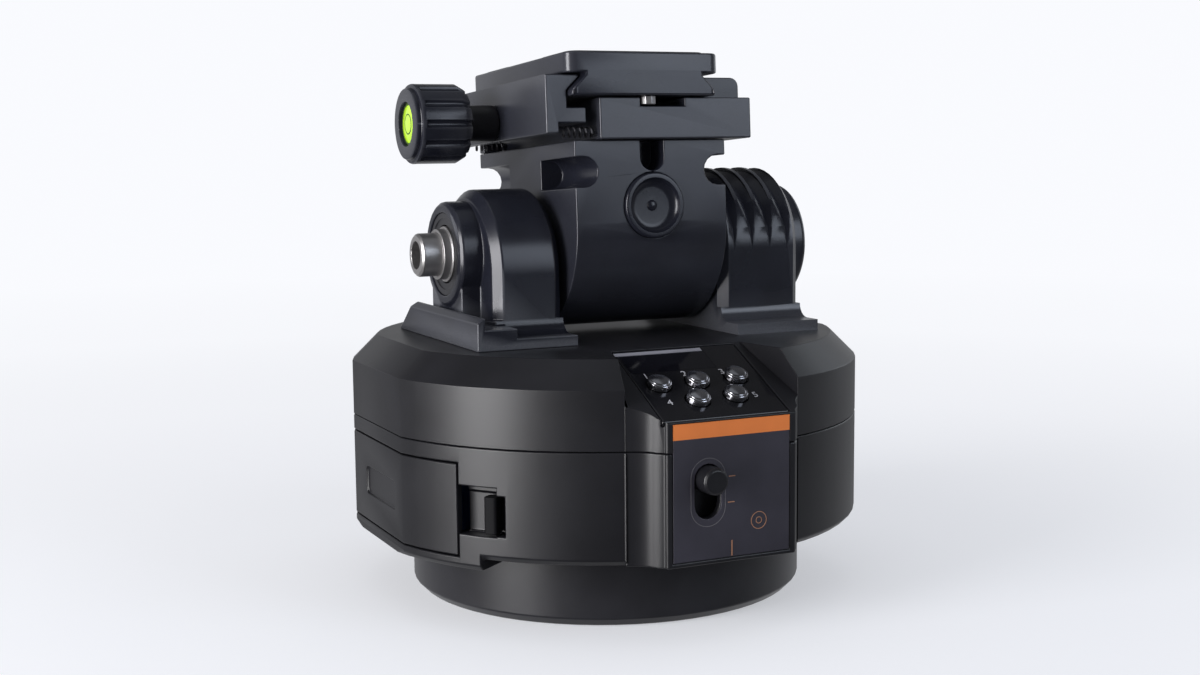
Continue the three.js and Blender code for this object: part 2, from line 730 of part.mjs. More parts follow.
// One side of the control box in plan, from the drum to the middle of the front; side is -1 or 1.
function boxSide(side, corner, root, inset) {
  const front = -(BOX_FRONT - inset);
  const rootY = -Math.sqrt(HOUSING_RADIUS ** 2 - root ** 2) + inset;
  const waistY = front + BOX_WAIST_BACK;
  const rootX = root - inset;
  const waistX = corner + BOX_WAIST_OUT - inset;
  const between = ([across, along]) => [
    side * (rootX + (waistX - rootX) * across),
    rootY + (waistY - rootY) * along,
  ];
  return {
    root: [side * rootX, rootY],
    bends: BOX_CURVE_SHARES.map(between),
    waist: [side * waistX, waistY],
    beforeCorner: [side * (corner - inset), front + BOX_CORNER_ROUND],
    corner: [side * (corner - inset), front],
    afterCorner: [side * (corner - inset - BOX_CORNER_ROUND), front],
  };
}

function boxPlan(inset) {
  const left = boxSide(-1, BOX_LEFT_CORNER, BOX_LEFT_ROOT, inset);
  const right = boxSide(1, BOX_RIGHT_CORNER, BOX_RIGHT_ROOT, inset);
  const shape = new THREE.Shape();
  shape.moveTo(left.root[0], SLOPE_REAR_Y);
  shape.lineTo(...left.root);
  shape.bezierCurveTo(...left.bends[0], ...left.bends[1], ...left.waist);
  shape.lineTo(...left.beforeCorner);
  shape.quadraticCurveTo(...left.corner, ...left.afterCorner);
  shape.lineTo(...right.afterCorner);
  shape.quadraticCurveTo(...right.corner, ...right.beforeCorner);
  shape.lineTo(...right.waist);
  shape.bezierCurveTo(...right.bends[1], ...right.bends[0], ...right.root);
  shape.lineTo(right.root[0], SLOPE_REAR_Y);
  return shape;
}

// All that lies above the control slope, lowered by a wall for the inside.
function aboveSlope(lowered) {
  const reach = HOUSING_RADIUS;
  return onSlope(block([-reach, reach], [-reach, reach], [-lowered, reach]));
}

// The recess in the deck over the slope, with upright side walls.
function controlRecess(grow) {
  const rimY = -Math.sqrt(HOUSING_RADIUS ** 2 - BOX_LEFT_ROOT ** 2);
  const frontY = -BOX_FRONT - OVER;
  const rearY = SLOPE_REAR_Y + grow / Math.sin(SLOPE_ANGLE);
  const plan = polygon([
    [-RECESS_LEFT_REAR - grow, rearY],
    [-RECESS_LEFT_REAR - grow, SLOPE_REAR_Y],
    [-BOX_LEFT_ROOT - grow, rimY],
    [-BOX_LEFT_ROOT - grow, frontY],
    [BOX_RIGHT_ROOT + grow, frontY],
    [BOX_RIGHT_ROOT + grow, rimY],
    [RECESS_RIGHT_REAR + grow, SLOPE_REAR_Y],
    [RECESS_RIGHT_REAR + grow, rearY],
  ]);
  return common(prism(plan, "z", [PARTING_Z, DECK_Z + OVER]), aboveSlope(grow));
}

function housing(inset) {
  const box = prism(boxPlan(inset), "z", [HOUSING_Z + inset, DECK_Z]);
  return cut(join(drum(inset), cut(box, aboveSlope(inset))), controlRecess(inset));
}

// The drum's side walls as an endless column, for pieces that are set into them.
function column(inset) {
  const heights = [0, PARTING_Z];
  const x = FLAT_X - inset;
  return common(
    rod(HOUSING_RADIUS - inset, "z", heights, [0, 0], RIM_SIDES),
    block([-x, x], [-HOUSING_RADIUS, HOUSING_RADIUS], heights),
  );
}

function doorZone(gap) {
  const gapDeg = THREE.MathUtils.radToDeg(gap / HOUSING_RADIUS);
  return ringSector(
    HOUSING_RADIUS / 2,
    HOUSING_RADIUS + OVER,
    -DOOR_HALF_DEG + gapDeg,
    DOOR_HALF_DEG - gapDeg,
    [DOOR_Z + gap, DOOR_Z + DOOR_HEIGHT - gap],
  );
}

// The hinge's place: a barrel of the door's own rear edge, just inside the drum's surface.
const BARREL_DEG = -DOOR_HALF_DEG + THREE.MathUtils.radToDeg((DOOR_BARREL_RADIUS + RUN) / HINGE_RADIUS);
const HINGE = polar(HINGE_RADIUS, BARREL_DEG);

function mainBoardPosts() {
  const x = MAIN_BOARD_HALF_WIDTH - MAIN_POST_INSET;
  const places = [
    [-x, MAIN_BOARD_FRONT_Y + MAIN_POST_INSET],
    [x, MAIN_BOARD_FRONT_Y + MAIN_POST_INSET],
    [-x, MAIN_BOARD_REAR_Y - MAIN_POST_INSET],
    [x, MAIN_BOARD_REAR_Y - MAIN_POST_INSET],
  ];
  return places.map((place) =>
    rod(MAIN_POST_RADIUS, "z", [HOUSING_Z, MAIN_BOARD_Z], place, TINY_SIDES),
  );
}

function panelRecess(gap) {
  const reach = PANEL_HALF_WIDTH + gap;
  return block(
    [-reach, reach],
    [-BOX_FRONT - OVER, PANEL_THICKNESS - BOX_FRONT + gap],
    [PANEL_BOTTOM_Z - gap, PANEL_TOP_Z + gap],
  );
}

function switchSlot(from, to) {
  const shape = roundedBox(
    [SWITCH_X - SLOT_HALF_WIDTH, SWITCH_BOTTOM_Z - SLOT_HALF_WIDTH],
    [SWITCH_X + SLOT_HALF_WIDTH, SWITCH_TOP_Z + SLOT_HALF_WIDTH],
    SLOT_HALF_WIDTH,
  );
  return prism(shape, "y", [from, to], { steps: CORNER_STEPS });
}

function addLowerHousing(group) {
  const underParting = block(
    [-HOUSING_RADIUS, HOUSING_RADIUS],
    [-BOX_FRONT, HOUSING_RADIUS],
    [0, PARTING_Z - SEAM],
  );
  const skirtLow = HOUSING_Z - SKIRT_DROP;
  const skirtRing = turned(
    [
      [SKIRT_INNER_RADIUS, skirtLow],
      [HOUSING_RADIUS - HOUSING_EDGE, skirtLow],
      [HOUSING_RADIUS, skirtLow + HOUSING_EDGE],
      [HOUSING_RADIUS, FLOOR_Z],
      [SKIRT_INNER_RADIUS, FLOOR_Z],
    ],
    "z",
    [0, 0],
    RIM_SIDES,
  );
  const skirtSector = ringSector(
    SKIRT_INNER_RADIUS / 2,
    HOUSING_RADIUS + OVER,
    -SKIRT_HALF_DEG,
    SKIRT_HALF_DEG,
    [0, PARTING_Z],
  );
  const skirt = common(skirtRing, skirtSector, column(0));
  const bossTop = BEARING_Z + PAN_RACE_WIDTH + RUN;
  const boss = rod(PAN_RACE_RADIUS + BOSS_WALL, "z", [HOUSING_Z, bossTop], [0, 0], ROUND_SIDES);
  const bearingBore = rod(
    PAN_RACE_RADIUS + FIT,
    "z",
    [BEARING_Z, bossTop + OVER],
    [0, 0],
    ROUND_SIDES,
  );
  const lipBore = rod(
    PAN_RACE_RADIUS - BOSS_LIP_REACH,
    "z",
    [0, BEARING_Z + OVER],
    [0, 0],
    ROUND_SIDES,
  );
  const shaftHole = rod(MOTOR_HOLE_RADIUS, "z", [0, FLOOR_Z + OVER], [0, PAN_PINION_Y]);

  const linerGapDeg = THREE.MathUtils.radToDeg(LATCH_LINER / HOUSING_RADIUS);
  const pocketZ = HOUSING_Z + LATCH_POCKET_LIFT;
  const pocketInner = HOUSING_RADIUS - LATCH_POCKET_DEPTH;
  const liner = ringSector(
    pocketInner - LATCH_LINER,
    HOUSING_RADIUS - WALL / 2,
    DOOR_HALF_DEG,
    180 - LATCH_SLOT_DEG + linerGapDeg,
    [pocketZ - LATCH_LINER, pocketZ + LATCH_POCKET_HEIGHT + LATCH_LINER],
  );
  const pocket = ringSector(
    pocketInner,
    HOUSING_RADIUS + OVER,
    DOOR_HALF_DEG - linerGapDeg,
    180 - LATCH_FAR_DEG,
    [pocketZ, pocketZ + LATCH_POCKET_HEIGHT],
  );
  const barLow = HOUSING_Z + LATCH_BAR_LIFT - RUN;
  const barSlot = ringSector(
    pocketInner - RUN,
    HOUSING_RADIUS + OVER,
    DOOR_HALF_DEG,
    180 - LATCH_SLOT_DEG,
    [barLow, barLow + LATCH_BAR_HEIGHT + 2 * RUN],
  );
  const pinHole = rod(
    DOOR_PIN_RADIUS + RUN,
    "z",
    [DOOR_Z - DOOR_PIN_REACH - RUN, DOOR_Z + DOOR_HEIGHT + DOOR_PIN_REACH + RUN],
    HINGE,
    TINY_SIDES,
  );
  const barrelRecess = rod(
    DOOR_BARREL_RADIUS + RUN,
    "z",
    [DOOR_Z, DOOR_Z + DOOR_HEIGHT],
    HINGE,
  );
  const walls = cut(join(common(housing(0), underParting), skirt), housing(WALL));
  const doorOpening = cut(doorZone(0), column(WALL + RUN));
  const body = cut(
    join(walls, boss, liner, ...mainBoardPosts()),
    bearingBore,
    lipBore,
    shaftHole,
    doorOpening,
    pocket,
    barSlot,
    barrelRecess,
    pinHole,
    panelRecess(SEAT),
    switchSlot(-BOX_FRONT - OVER, WALL + OVER - BOX_FRONT),
  );
  piece(group, "lower_housing", body, BLACK_PLASTIC);
}

function addUpperHousing(group) {
  const overParting = block(
    [-HOUSING_RADIUS, HOUSING_RADIUS],
    [-BOX_FRONT, HOUSING_RADIUS],
    [PARTING_Z, DECK_Z],
  );
  const shell = cut(common(housing(0), overParting), housing(WALL));
  const plateRecess = onSlope(
    block(
      [-DECK_PLATE_LEFT - SEAT, DECK_PLATE_RIGHT + SEAT],
      [DECK_PLATE_FRONT_S - SEAT, DECK_PLATE_REAR_S + SEAT],
      [-DECK_PLATE_THICKNESS - SEAT, OVER],
    ),
  );
  const stemHoles = BUTTON_PLACES.map(({ x, s }) =>
    onSlope(rod(BUTTON_STEM_RADIUS + RUN, "z", [-WALL - OVER, 0], [x, s], TINY_SIDES)),
  );
  const driveOpening = block(
    [MOTOR_X - SEAT, TILT_GEAR_X + TILT_GEAR_WIDTH + RUN],
    [-TILT_MOTOR_RADIUS - SEAT, TILT_MOTOR_RADIUS + SEAT],
    [DECK_Z - WALL - OVER, DECK_Z + OVER],
  );
  const body = cut(shell, plateRecess, ...stemHoles, driveOpening, panelRecess(SEAT));
  piece(group, "upper_housing", body, BLACK_PLASTIC);
}

// The parts that ride in the drum: bearing, motor, boards and battery.
function addDrumContents(group) {
  const inner = PAN_RACE_RADIUS - RACE_WALL;
  const shieldInner = HUB_RADIUS + RACE_WALL + RUN;
  const top = BEARING_Z + PAN_RACE_WIDTH;
  const race = turned(
    [
      [shieldInner, BEARING_Z],
      [PAN_RACE_RADIUS, BEARING_Z],
      [PAN_RACE_RADIUS, top],
      [shieldInner, top],
      [shieldInner, top - RACE_SHIELD],
      [inner, top - RACE_SHIELD],
      [inner, BEARING_Z + RACE_SHIELD],
      [shieldInner, BEARING_Z + RACE_SHIELD],
    ],
    "z",
    [0, 0],
    ROUND_SIDES,
  );
  piece(group, "pan_bearing_outer_race", race, BRIGHT_STEEL);

  const ballPath = (inner + HUB_RADIUS + RACE_WALL) / 2;
  const ballRadius = (inner - HUB_RADIUS - RACE_WALL) / 2 - RUN;
  const middle = BEARING_Z + PAN_RACE_WIDTH / 2;
  const cage = tube(
    ballPath + CAGE_WALL / 2,
    ballPath - CAGE_WALL / 2,
    "z",
    [middle - CAGE_HEIGHT / 2, middle + CAGE_HEIGHT / 2],
    [0, 0],
    ROUND_SIDES,
  );
  const balls = [];
  for (let i = 0; i < PAN_BALLS; i += 1) {
    const [x, y] = polar(ballPath, (360 * i) / PAN_BALLS);
    const ball = new THREE.SphereGeometry(ballRadius, BALL_SIDES, BALL_SIDES / 2);
    balls.push(solid(ball.translate(x, y, middle)));
  }
  piece(group, "pan_bearing_cage", join(cage, ...balls), BRIGHT_STEEL);

  const motorTop = FLOOR_Z + PAN_MOTOR_HEIGHT;
  const can = chamfered(
    PAN_MOTOR_RADIUS,
    HOUSING_EDGE,
    "z",
    [FLOOR_Z, motorTop],
    [0, PAN_PINION_Y],
    ROUND_SIDES,
  );
  const shaftBore = rod(
    PAN_SHAFT_RADIUS + RUN,
    "z",
    [0, FLOOR_Z + MOTOR_BORE_DEPTH],
    [0, PAN_PINION_Y],
  );
  piece(group, "pan_motor", cut(can, shaftBore), DARK_STEEL);

  const pinion = gear(
    PAN_MODULE,
    PAN_PINION_TEETH,
    -90,
    "z",
    [PAN_PINION_Z, PAN_PINION_Z + PAN_GEAR_WIDTH],
    [0, PAN_PINION_Y],
  );
  const pinionShaft = rod(
    PAN_SHAFT_RADIUS,
    "z",
    [PAN_PINION_Z, FLOOR_Z + MOTOR_BORE_DEPTH - RUN],
    [0, PAN_PINION_Y],
  );
  piece(group, "pan_pinion", join(pinion, pinionShaft), BRASS);

  const board = block(
    [-MAIN_BOARD_HALF_WIDTH, MAIN_BOARD_HALF_WIDTH],
    [MAIN_BOARD_FRONT_Y, MAIN_BOARD_REAR_Y],
    [MAIN_BOARD_Z, MAIN_BOARD_Z + BOARD_THICKNESS],
  );
  piece(group, "main_board", board, BOARD_GREEN);

  const battery = block(
    [-BATTERY_FRONT_X, BATTERY_THICKNESS - BATTERY_FRONT_X],
    [-BATTERY_LENGTH / 2, BATTERY_LENGTH / 2],
    [FLOOR_Z, FLOOR_Z + BATTERY_HEIGHT],
  );
  piece(group, "battery_pack", battery, CELL_WRAP);
}

function addBatteryDoor(group) {
  const skin = common(cut(column(0), column(DOOR_THICKNESS)), doorZone(RUN));
  const heights = [DOOR_Z + RUN, DOOR_Z + DOOR_HEIGHT - RUN];
  // The skin stops at the hinge's centre, and the barrel rounds its rear edge.
  const rearCut = ringSector(
    HOUSING_RADIUS / 2,
    HOUSING_RADIUS + OVER,
    -DOOR_HALF_DEG,
    BARREL_DEG,
    [0, PARTING_Z],
  );
  const barrel = rod(DOOR_BARREL_RADIUS, "z", heights, HINGE);
  const pin = rod(
    DOOR_PIN_RADIUS,
    "z",
    [DOOR_Z - DOOR_PIN_REACH, DOOR_Z + DOOR_HEIGHT + DOOR_PIN_REACH],
    HINGE,
    TINY_SIDES,
  );
  const labelLow = DOOR_Z + LABEL_LIFT;
  const label = prism(
    roundedBox(
      [LABEL_FRONT_Y, labelLow],
      [LABEL_FRONT_Y + LABEL_LENGTH, labelLow + LABEL_HEIGHT],
      LABEL_CORNER,
    ),
    "x",
    [-FLAT_X - OVER, LABEL_DEPTH - FLAT_X],
    { steps: CORNER_STEPS },
  );
  piece(group, "battery_door", cut(join(cut(skin, rearCut), barrel, pin), label), BLACK_PLASTIC);

  // The latch bar is drawn straight on the -X side and turned to its place.
  const low = HOUSING_Z + LATCH_BAR_LIFT;
  const bar = prism(
    roundedBox(
      [-HOUSING_RADIUS + LATCH_BAR_SINK, -LATCH_BAR_WIDTH / 2],
      [-HOUSING_RADIUS + LATCH_POCKET_DEPTH - RUN, LATCH_BAR_WIDTH / 2],
      LATCH_CORNER,
    ),
    "z",
    [low, low + LATCH_BAR_HEIGHT],
    { steps: CORNER_STEPS },
  );
  const turn = new THREE.Matrix4().makeRotationZ(radians(180 - LATCH_DEG));
  piece(group, "door_latch", bar.transform(turn.elements), BLACK_PLASTIC);
}

function addFrontPanel(group) {
  const stripeLow = PANEL_TOP_Z - STRIPE_HEIGHT;
  const depth = [-BOX_FRONT, PANEL_THICKNESS - BOX_FRONT];
  const panel = block(
    [-PANEL_HALF_WIDTH, PANEL_HALF_WIDTH],
    depth,
    [PANEL_BOTTOM_Z, stripeLow],
  );
  const slot = switchSlot(-BOX_FRONT - OVER, OVER - BOX_FRONT);
  piece(group, "front_panel", cut(panel, slot), SLATE_LABEL);
  const stripe = block([-PANEL_HALF_WIDTH, PANEL_HALF_WIDTH], depth, [stripeLow, PANEL_TOP_Z]);
  piece(group, "accent_stripe", stripe, ORANGE_LABEL);

  const face = -BOX_FRONT - SWITCH_KNOB_PROUD;
  const heel = -BOX_FRONT + WALL + SWITCH_KNOB_FOOT;
  const knob = chamfered(
    SWITCH_KNOB_RADIUS,
    SWITCH_KNOB_EDGE,
    "y",
    [face, heel],
    [SWITCH_X, SWITCH_TOP_Z],
  );
  piece(group, "mode_switch_knob", knob, BLACK_PLASTIC);
  const middle = (SWITCH_TOP_Z + SWITCH_BOTTOM_Z) / 2;
  const body = block(
    [SWITCH_X - SWITCH_BODY_WIDTH / 2, SWITCH_X + SWITCH_BODY_WIDTH / 2],
    [heel + RUN, heel + RUN + SWITCH_BODY_DEPTH],
    [middle - SWITCH_BODY_HEIGHT / 2, middle + SWITCH_BODY_HEIGHT / 2],
  );
  piece(group, "mode_switch_body", body, DARK_STEEL);
}

// The glossy plate on the slope with its window, buttons and the board under them.
function addControlDeck(group) {
  const slope = new THREE.Group();
  slope.position.set(0, -BOX_FRONT, SLOPE_FRONT_Z);
  slope.rotation.x = SLOPE_ANGLE;
  group.add(slope);

  const plate = block(
    [-DECK_PLATE_LEFT, DECK_PLATE_RIGHT],
    [DECK_PLATE_FRONT_S, DECK_PLATE_REAR_S],
    [-DECK_PLATE_THICKNESS, 0],
  );
  const windowX = [WINDOW_LEFT_X, WINDOW_LEFT_X + WINDOW_WIDTH];
  const windowS = [WINDOW_FRONT_S, WINDOW_FRONT_S + WINDOW_DEPTH];
  const windowPocket = block(
    windowX.map((x, i) => (i ? x + SEAT : x - SEAT)),
    windowS.map((s, i) => (i ? s + SEAT : s - SEAT)),
    [-WINDOW_THICKNESS - SEAT, OVER],
  );
  const wells = BUTTON_PLACES.map(({ x, s }) =>
    rod(BUTTON_RADIUS + RUN, "z", [-DECK_PLATE_THICKNESS - OVER, OVER], [x, s]),
  );
  piece(slope, "control_deck", cut(plate, windowPocket, ...wells), GLOSS_PLASTIC);
  piece(slope, "display_window", block(windowX, windowS, [-WINDOW_THICKNESS, 0]), DARK_GLASS);

  for (const { name, x, s } of BUTTON_PLACES) {
    const shoulder = BUTTON_PROUD - BUTTON_DOME;
    const dome = [];
    for (let i = 0; i <= DOME_STEPS; i += 1) {
      const angle = ((Math.PI / 2) * i) / DOME_STEPS;
      dome.push([
        i === DOME_STEPS ? 0 : BUTTON_RADIUS * Math.cos(angle),
        shoulder + BUTTON_DOME * Math.sin(angle),
      ]);
    }
    const profile = [
      [0, -BUTTON_SKIRT - BUTTON_STEM_LENGTH],
      [BUTTON_STEM_RADIUS, -BUTTON_SKIRT - BUTTON_STEM_LENGTH],
      [BUTTON_STEM_RADIUS, -BUTTON_SKIRT],
      [BUTTON_RADIUS, -BUTTON_SKIRT],
      ...dome,
    ];
    piece(slope, name, turned(profile, "z", [x, s]), CHROME);
  }

  const switchTop = -BUTTON_SKIRT - BUTTON_STEM_LENGTH - SWITCH_GAP;
  const boardTop = switchTop - SWITCH_HEIGHT;
  const board = block(
    [-CONTROL_BOARD_HALF_WIDTH, CONTROL_BOARD_HALF_WIDTH],
    [CONTROL_BOARD_FRONT_S, CONTROL_BOARD_REAR_S],
    [boardTop - BOARD_THICKNESS, boardTop],
  );
  const half = SWITCH_SIZE / 2;
  const switches = BUTTON_PLACES.map(({ x, s }) =>
    block([x - half, x + half], [s - half, s + half], [boardTop - SEAT, switchTop]),
  );
  piece(slope, "control_board", join(board, ...switches), BOARD_GREEN);
}

// An arm seen from the side: straight sides and a round top about a centre at arcZ.
function armSide(halfWidth, arcZ, lowZ) {
  const shape = new THREE.Shape();
  shape.moveTo(-halfWidth, lowZ);
  shape.lineTo(halfWidth, lowZ);
  shape.absarc(0, arcZ, halfWidth, 0, Math.PI, false);
  return shape;
}

// The foot of an arm: a low slab with a fillet up to the arm on each side.
function footSide() {
  const top = DECK_Z + FOOT_RISE;
  const centre = ARM_HALF_WIDTH + FOOT_FILLET;
  const quarter = Math.PI / 2;
  const shape = new THREE.Shape();
  shape.moveTo(-FOOT_REACH, DECK_Z);
  shape.lineTo(FOOT_REACH, DECK_Z);
  shape.lineTo(FOOT_REACH, top);
  shape.absarc(centre, top + FOOT_FILLET, FOOT_FILLET, -quarter, -2 * quarter, true);
  shape.absarc(-centre, top + FOOT_FILLET, FOOT_FILLET, 0, -quarter, true);
  shape.lineTo(-FOOT_REACH, top);
  return shape;
}

function arm(outline, [from, to]) {
  const bevelled = prism(outline, "x", [from, to], { bevel: ARM_BEVEL, steps: 2 * ARC_STEPS });
  const overDeck = block([from, to], [-FOOT_REACH, FOOT_REACH], [DECK_Z, 2 * AXIS_Z]);
  const foot = prism(footSide(), "x", [from, to], { steps: ARC_STEPS / 2 });
  return join(common(bevelled, overDeck), foot);
}

function addLeftArm(group) {
  const span = [LEFT_ARM_OUTER_X, LEFT_ARM_INNER_X];
  const outline = armSide(ARM_HALF_WIDTH, AXIS_Z - LEFT_ARM_DROP, DECK_Z - ARM_BEVEL);
  const footTop = DECK_Z + LEFT_FOOT_HEIGHT;
  const step = block(
    [LEFT_FOOT_X, LEFT_ARM_OUTER_X + ARM_BEVEL],
    [-FOOT_REACH, FOOT_REACH],
    [DECK_Z, footTop],
  );
  const rimTop = DECK_Z + LEFT_RIM_HEIGHT;
  const rimEnds = polygon([
    [-FOOT_REACH, DECK_Z],
    [FOOT_REACH, DECK_Z],
    [FOOT_REACH - LEFT_RIM_SLOPE, rimTop],
    [-FOOT_REACH, rimTop],
  ]);
  const rimEdge = polygon([
    [LEFT_FOOT_X, DECK_Z],
    [LEFT_FOOT_X + LEFT_RIM_WIDTH, DECK_Z],
    [LEFT_FOOT_X + LEFT_RIM_WIDTH, rimTop],
    [LEFT_FOOT_X + LEFT_RIM_CHAMFER, rimTop],
    [LEFT_FOOT_X, rimTop - LEFT_RIM_CHAMFER],
  ]);
  const rim = common(
    prism(rimEnds, "x", [LEFT_FOOT_X, LEFT_FOOT_X + LEFT_RIM_WIDTH]),
    prism(rimEdge, "y", [-FOOT_REACH, FOOT_REACH]),
  );
  const slopedStep = common(step, prism(rimEnds, "x", [LEFT_FOOT_X, LEFT_ARM_INNER_X]));

  const bossX = LEFT_ARM_OUTER_X - LEFT_BOSS_LENGTH;
  const boss = turned(
    [
      [0, bossX],
      [LEFT_BOSS_RADIUS - LEFT_BOSS_CHAMFER, bossX],
      [LEFT_BOSS_RADIUS, bossX + LEFT_BOSS_CHAMFER],
      [LEFT_BOSS_RADIUS, LEFT_ARM_OUTER_X + ARM_BEVEL],
      [0, LEFT_ARM_OUTER_X + ARM_BEVEL],
    ],
    "x",
    [0, AXIS_Z],
    ROUND_SIDES,
  );
  const stem = block(
    [bossX + LEFT_BOSS_CHAMFER, LEFT_ARM_OUTER_X + ARM_BEVEL],
    [-LEFT_STEM_HALF_WIDTH, LEFT_STEM_HALF_WIDTH],
    [DECK_Z + LEFT_FOOT_HEIGHT / 2, AXIS_Z],
  );
  const bearingPocket = rod(
    TILT_BEARING_RADIUS + FIT,
    "x",
    [bossX - OVER, bossX + RUN + TILT_BEARING_WIDTH],
    [0, AXIS_Z],
    ROUND_SIDES,
  );
  const bore = rod(
    LEFT_ARM_BORE,
    "x",
    [bossX, LEFT_ARM_INNER_X + OVER],
    [0, AXIS_Z],
    ROUND_SIDES,
  );
  const body = cut(join(arm(outline, span), slopedStep, rim, boss, stem), bearingPocket, bore);
  piece(group, "left_arm", body, BLACK_METAL);

  const raceFrom = bossX + RUN;
  const raceTo = raceFrom + TILT_BEARING_WIDTH;
  const raceInner = TILT_BEARING_RADIUS - TILT_RACE_WALL;
  const shieldInner = TILT_SHAFT_RADIUS + FIT + TILT_RACE_WALL + RUN;
  const outerRace = turned(
    [
      [shieldInner, raceFrom + RACE_SHIELD / 2],
      [raceInner, raceFrom + RACE_SHIELD / 2],
      [raceInner, raceFrom],
      [TILT_BEARING_RADIUS, raceFrom],
      [TILT_BEARING_RADIUS, raceTo],
      [raceInner, raceTo],
      [raceInner, raceFrom + 2 * RACE_SHIELD],
      [shieldInner, raceFrom + 2 * RACE_SHIELD],
    ],
    "x",
    [0, AXIS_Z],
    ROUND_SIDES,
  );
  piece(group, "tilt_bearing_outer_race", outerRace, DARK_STEEL);
}

// Grooves that curl over the round top of the right arm and run out at its front and back.
function armGrooves() {
  const crownZ = ARM_HALF_WIDTH + GROOVE_RADIUS - GROOVE_DEPTH;
  const endY = ARM_HALF_WIDTH + GROOVE_RADIUS;
  // The circle through the crown and both ends has its centre this far up from the ends' level.
  const rise = crownZ + GROOVE_END_DROP;
  const up = (rise ** 2 - endY ** 2) / (2 * rise);
  const pathRadius = rise - up;
  const middle = RIGHT_ARM_INNER_X + RIGHT_ARM_WIDTH / 2;
  const upper = block(
    [RIGHT_ARM_INNER_X - OVER, RIGHT_ARM_INNER_X + RIGHT_ARM_WIDTH + OVER],
    [-2 * endY, 2 * endY],
    [AXIS_Z - GROOVE_END_DROP, 2 * AXIS_Z],
  );
  const grooves = [];
  for (let i = 0; i < GROOVES; i += 1) {
    const ring = new THREE.TorusGeometry(pathRadius, GROOVE_RADIUS, GROOVE_SIDES, GROOVE_STEPS);
    ring.rotateY(Math.PI / 2);
    const x = middle + (i - (GROOVES - 1) / 2) * GROOVE_PITCH;
    ring.translate(x, 0, AXIS_Z - GROOVE_END_DROP + up);
    grooves.push(common(solid(ring), upper));
  }
  return grooves;
}

function addRightArm(group) {
  const outerX = RIGHT_ARM_INNER_X + RIGHT_ARM_WIDTH;
  const outline = armSide(ARM_HALF_WIDTH, AXIS_Z, DECK_Z - ARM_BEVEL);
  const hollowWidth = ARM_HALF_WIDTH - RIGHT_ARM_WALL;
  const hollow = prism(
    armSide(hollowWidth, AXIS_Z, DECK_Z - OVER),
    "x",
    [MOTOR_X, outerX + OVER],
  );
  const bushingHole = rod(BUSHING_RADIUS + FIT, "x", [RIGHT_ARM_INNER_X - OVER, MOTOR_X + OVER], [
    0,
    AXIS_Z,
  ]);
  const body = cut(arm(outline, [RIGHT_ARM_INNER_X, outerX]), hollow, bushingHole, ...armGrooves());
  piece(group, "right_arm", body, BLACK_METAL);

  const cover = prism(
    armSide(hollowWidth - SEAT, AXIS_Z, DECK_Z + SEAT),
    "x",
    [COVER_X, COVER_X + COVER_THICKNESS],
  );
  piece(group, "right_arm_cover", cover, BLACK_METAL);

  const capFrom = COVER_X + COVER_THICKNESS;
  const capTo = capFrom + END_CAP_LENGTH;
  const capProfile = [
    [0, capFrom],
    [END_CAP_RADIUS, capFrom],
  ];
  for (let i = 0; i <= CORNER_STEPS; i += 1) {
    const angle = ((Math.PI / 2) * i) / CORNER_STEPS;
    capProfile.push([
      END_CAP_RADIUS - END_CAP_ROUND * (1 - Math.cos(angle)),
      capTo - END_CAP_ROUND * (1 - Math.sin(angle)),
    ]);
  }
  capProfile.push(
    [END_CAP_RADIUS - END_CAP_RIM, capTo],
    [END_CAP_RADIUS - END_CAP_RIM - END_CAP_DISH, capTo - END_CAP_DISH],
    [0, capTo - END_CAP_DISH],
  );
  piece(group, "right_end_cap", turned(capProfile, "x", [0, AXIS_Z], ROUND_SIDES), BLACK_METAL);

  const bore = DRIVE_SHAFT_RADIUS + RUN;
  const bushing = turned(
    [
      [bore, RIGHT_ARM_INNER_X],
      [BUSHING_RADIUS, RIGHT_ARM_INNER_X],
      [BUSHING_RADIUS, MOTOR_X],
      [BUSHING_FLANGE_RADIUS, MOTOR_X],
      [BUSHING_FLANGE_RADIUS, MOTOR_X + BUSHING_FLANGE],
      [bore, MOTOR_X + BUSHING_FLANGE],
    ],
    "x",
    [0, AXIS_Z],
  );
  piece(group, "tilt_bushing", bushing, BRASS);

  const motorAxis = [0, AXIS_Z - TILT_CENTRES];
  const motorTo = MOTOR_X + TILT_MOTOR_LENGTH;
  const motor = cut(
    rod(TILT_MOTOR_RADIUS, "x", [MOTOR_X, motorTo], motorAxis, ROUND_SIDES),
    rod(TILT_PINION_SHAFT_RADIUS + RUN, "x", [motorTo - MOTOR_BORE_DEPTH, motorTo + OVER], motorAxis),
  );
  piece(group, "tilt_motor", motor, DARK_STEEL);

  const pinionEnd = TILT_GEAR_X + TILT_GEAR_WIDTH;
  const shaftFrom = motorTo - MOTOR_BORE_DEPTH + RUN;
  const pinion = join(
    gear(TILT_MODULE, TILT_PINION_TEETH, 90, "x", [TILT_GEAR_X, pinionEnd], motorAxis),
    rod(TILT_PINION_SHAFT_RADIUS, "x", [shaftFrom, pinionEnd], motorAxis),
  );
  piece(group, "tilt_pinion", pinion, BRASS);
}

// The carriage's body seen from the side: upright in front and behind, and round below.
function carriageSide(inset) {
  const reach = CARRIAGE_HALF_DEPTH - inset;
  const shape = new THREE.Shape();
  shape.moveTo(-reach, CARRIAGE_TOP_Z);
  shape.lineTo(-reach, CARRIAGE_ARC_Z);
  shape.absarc(0, CARRIAGE_ARC_Z, reach, Math.PI, 2 * Math.PI, false);
  shape.lineTo(reach, CARRIAGE_TOP_Z);
  return shape;
}

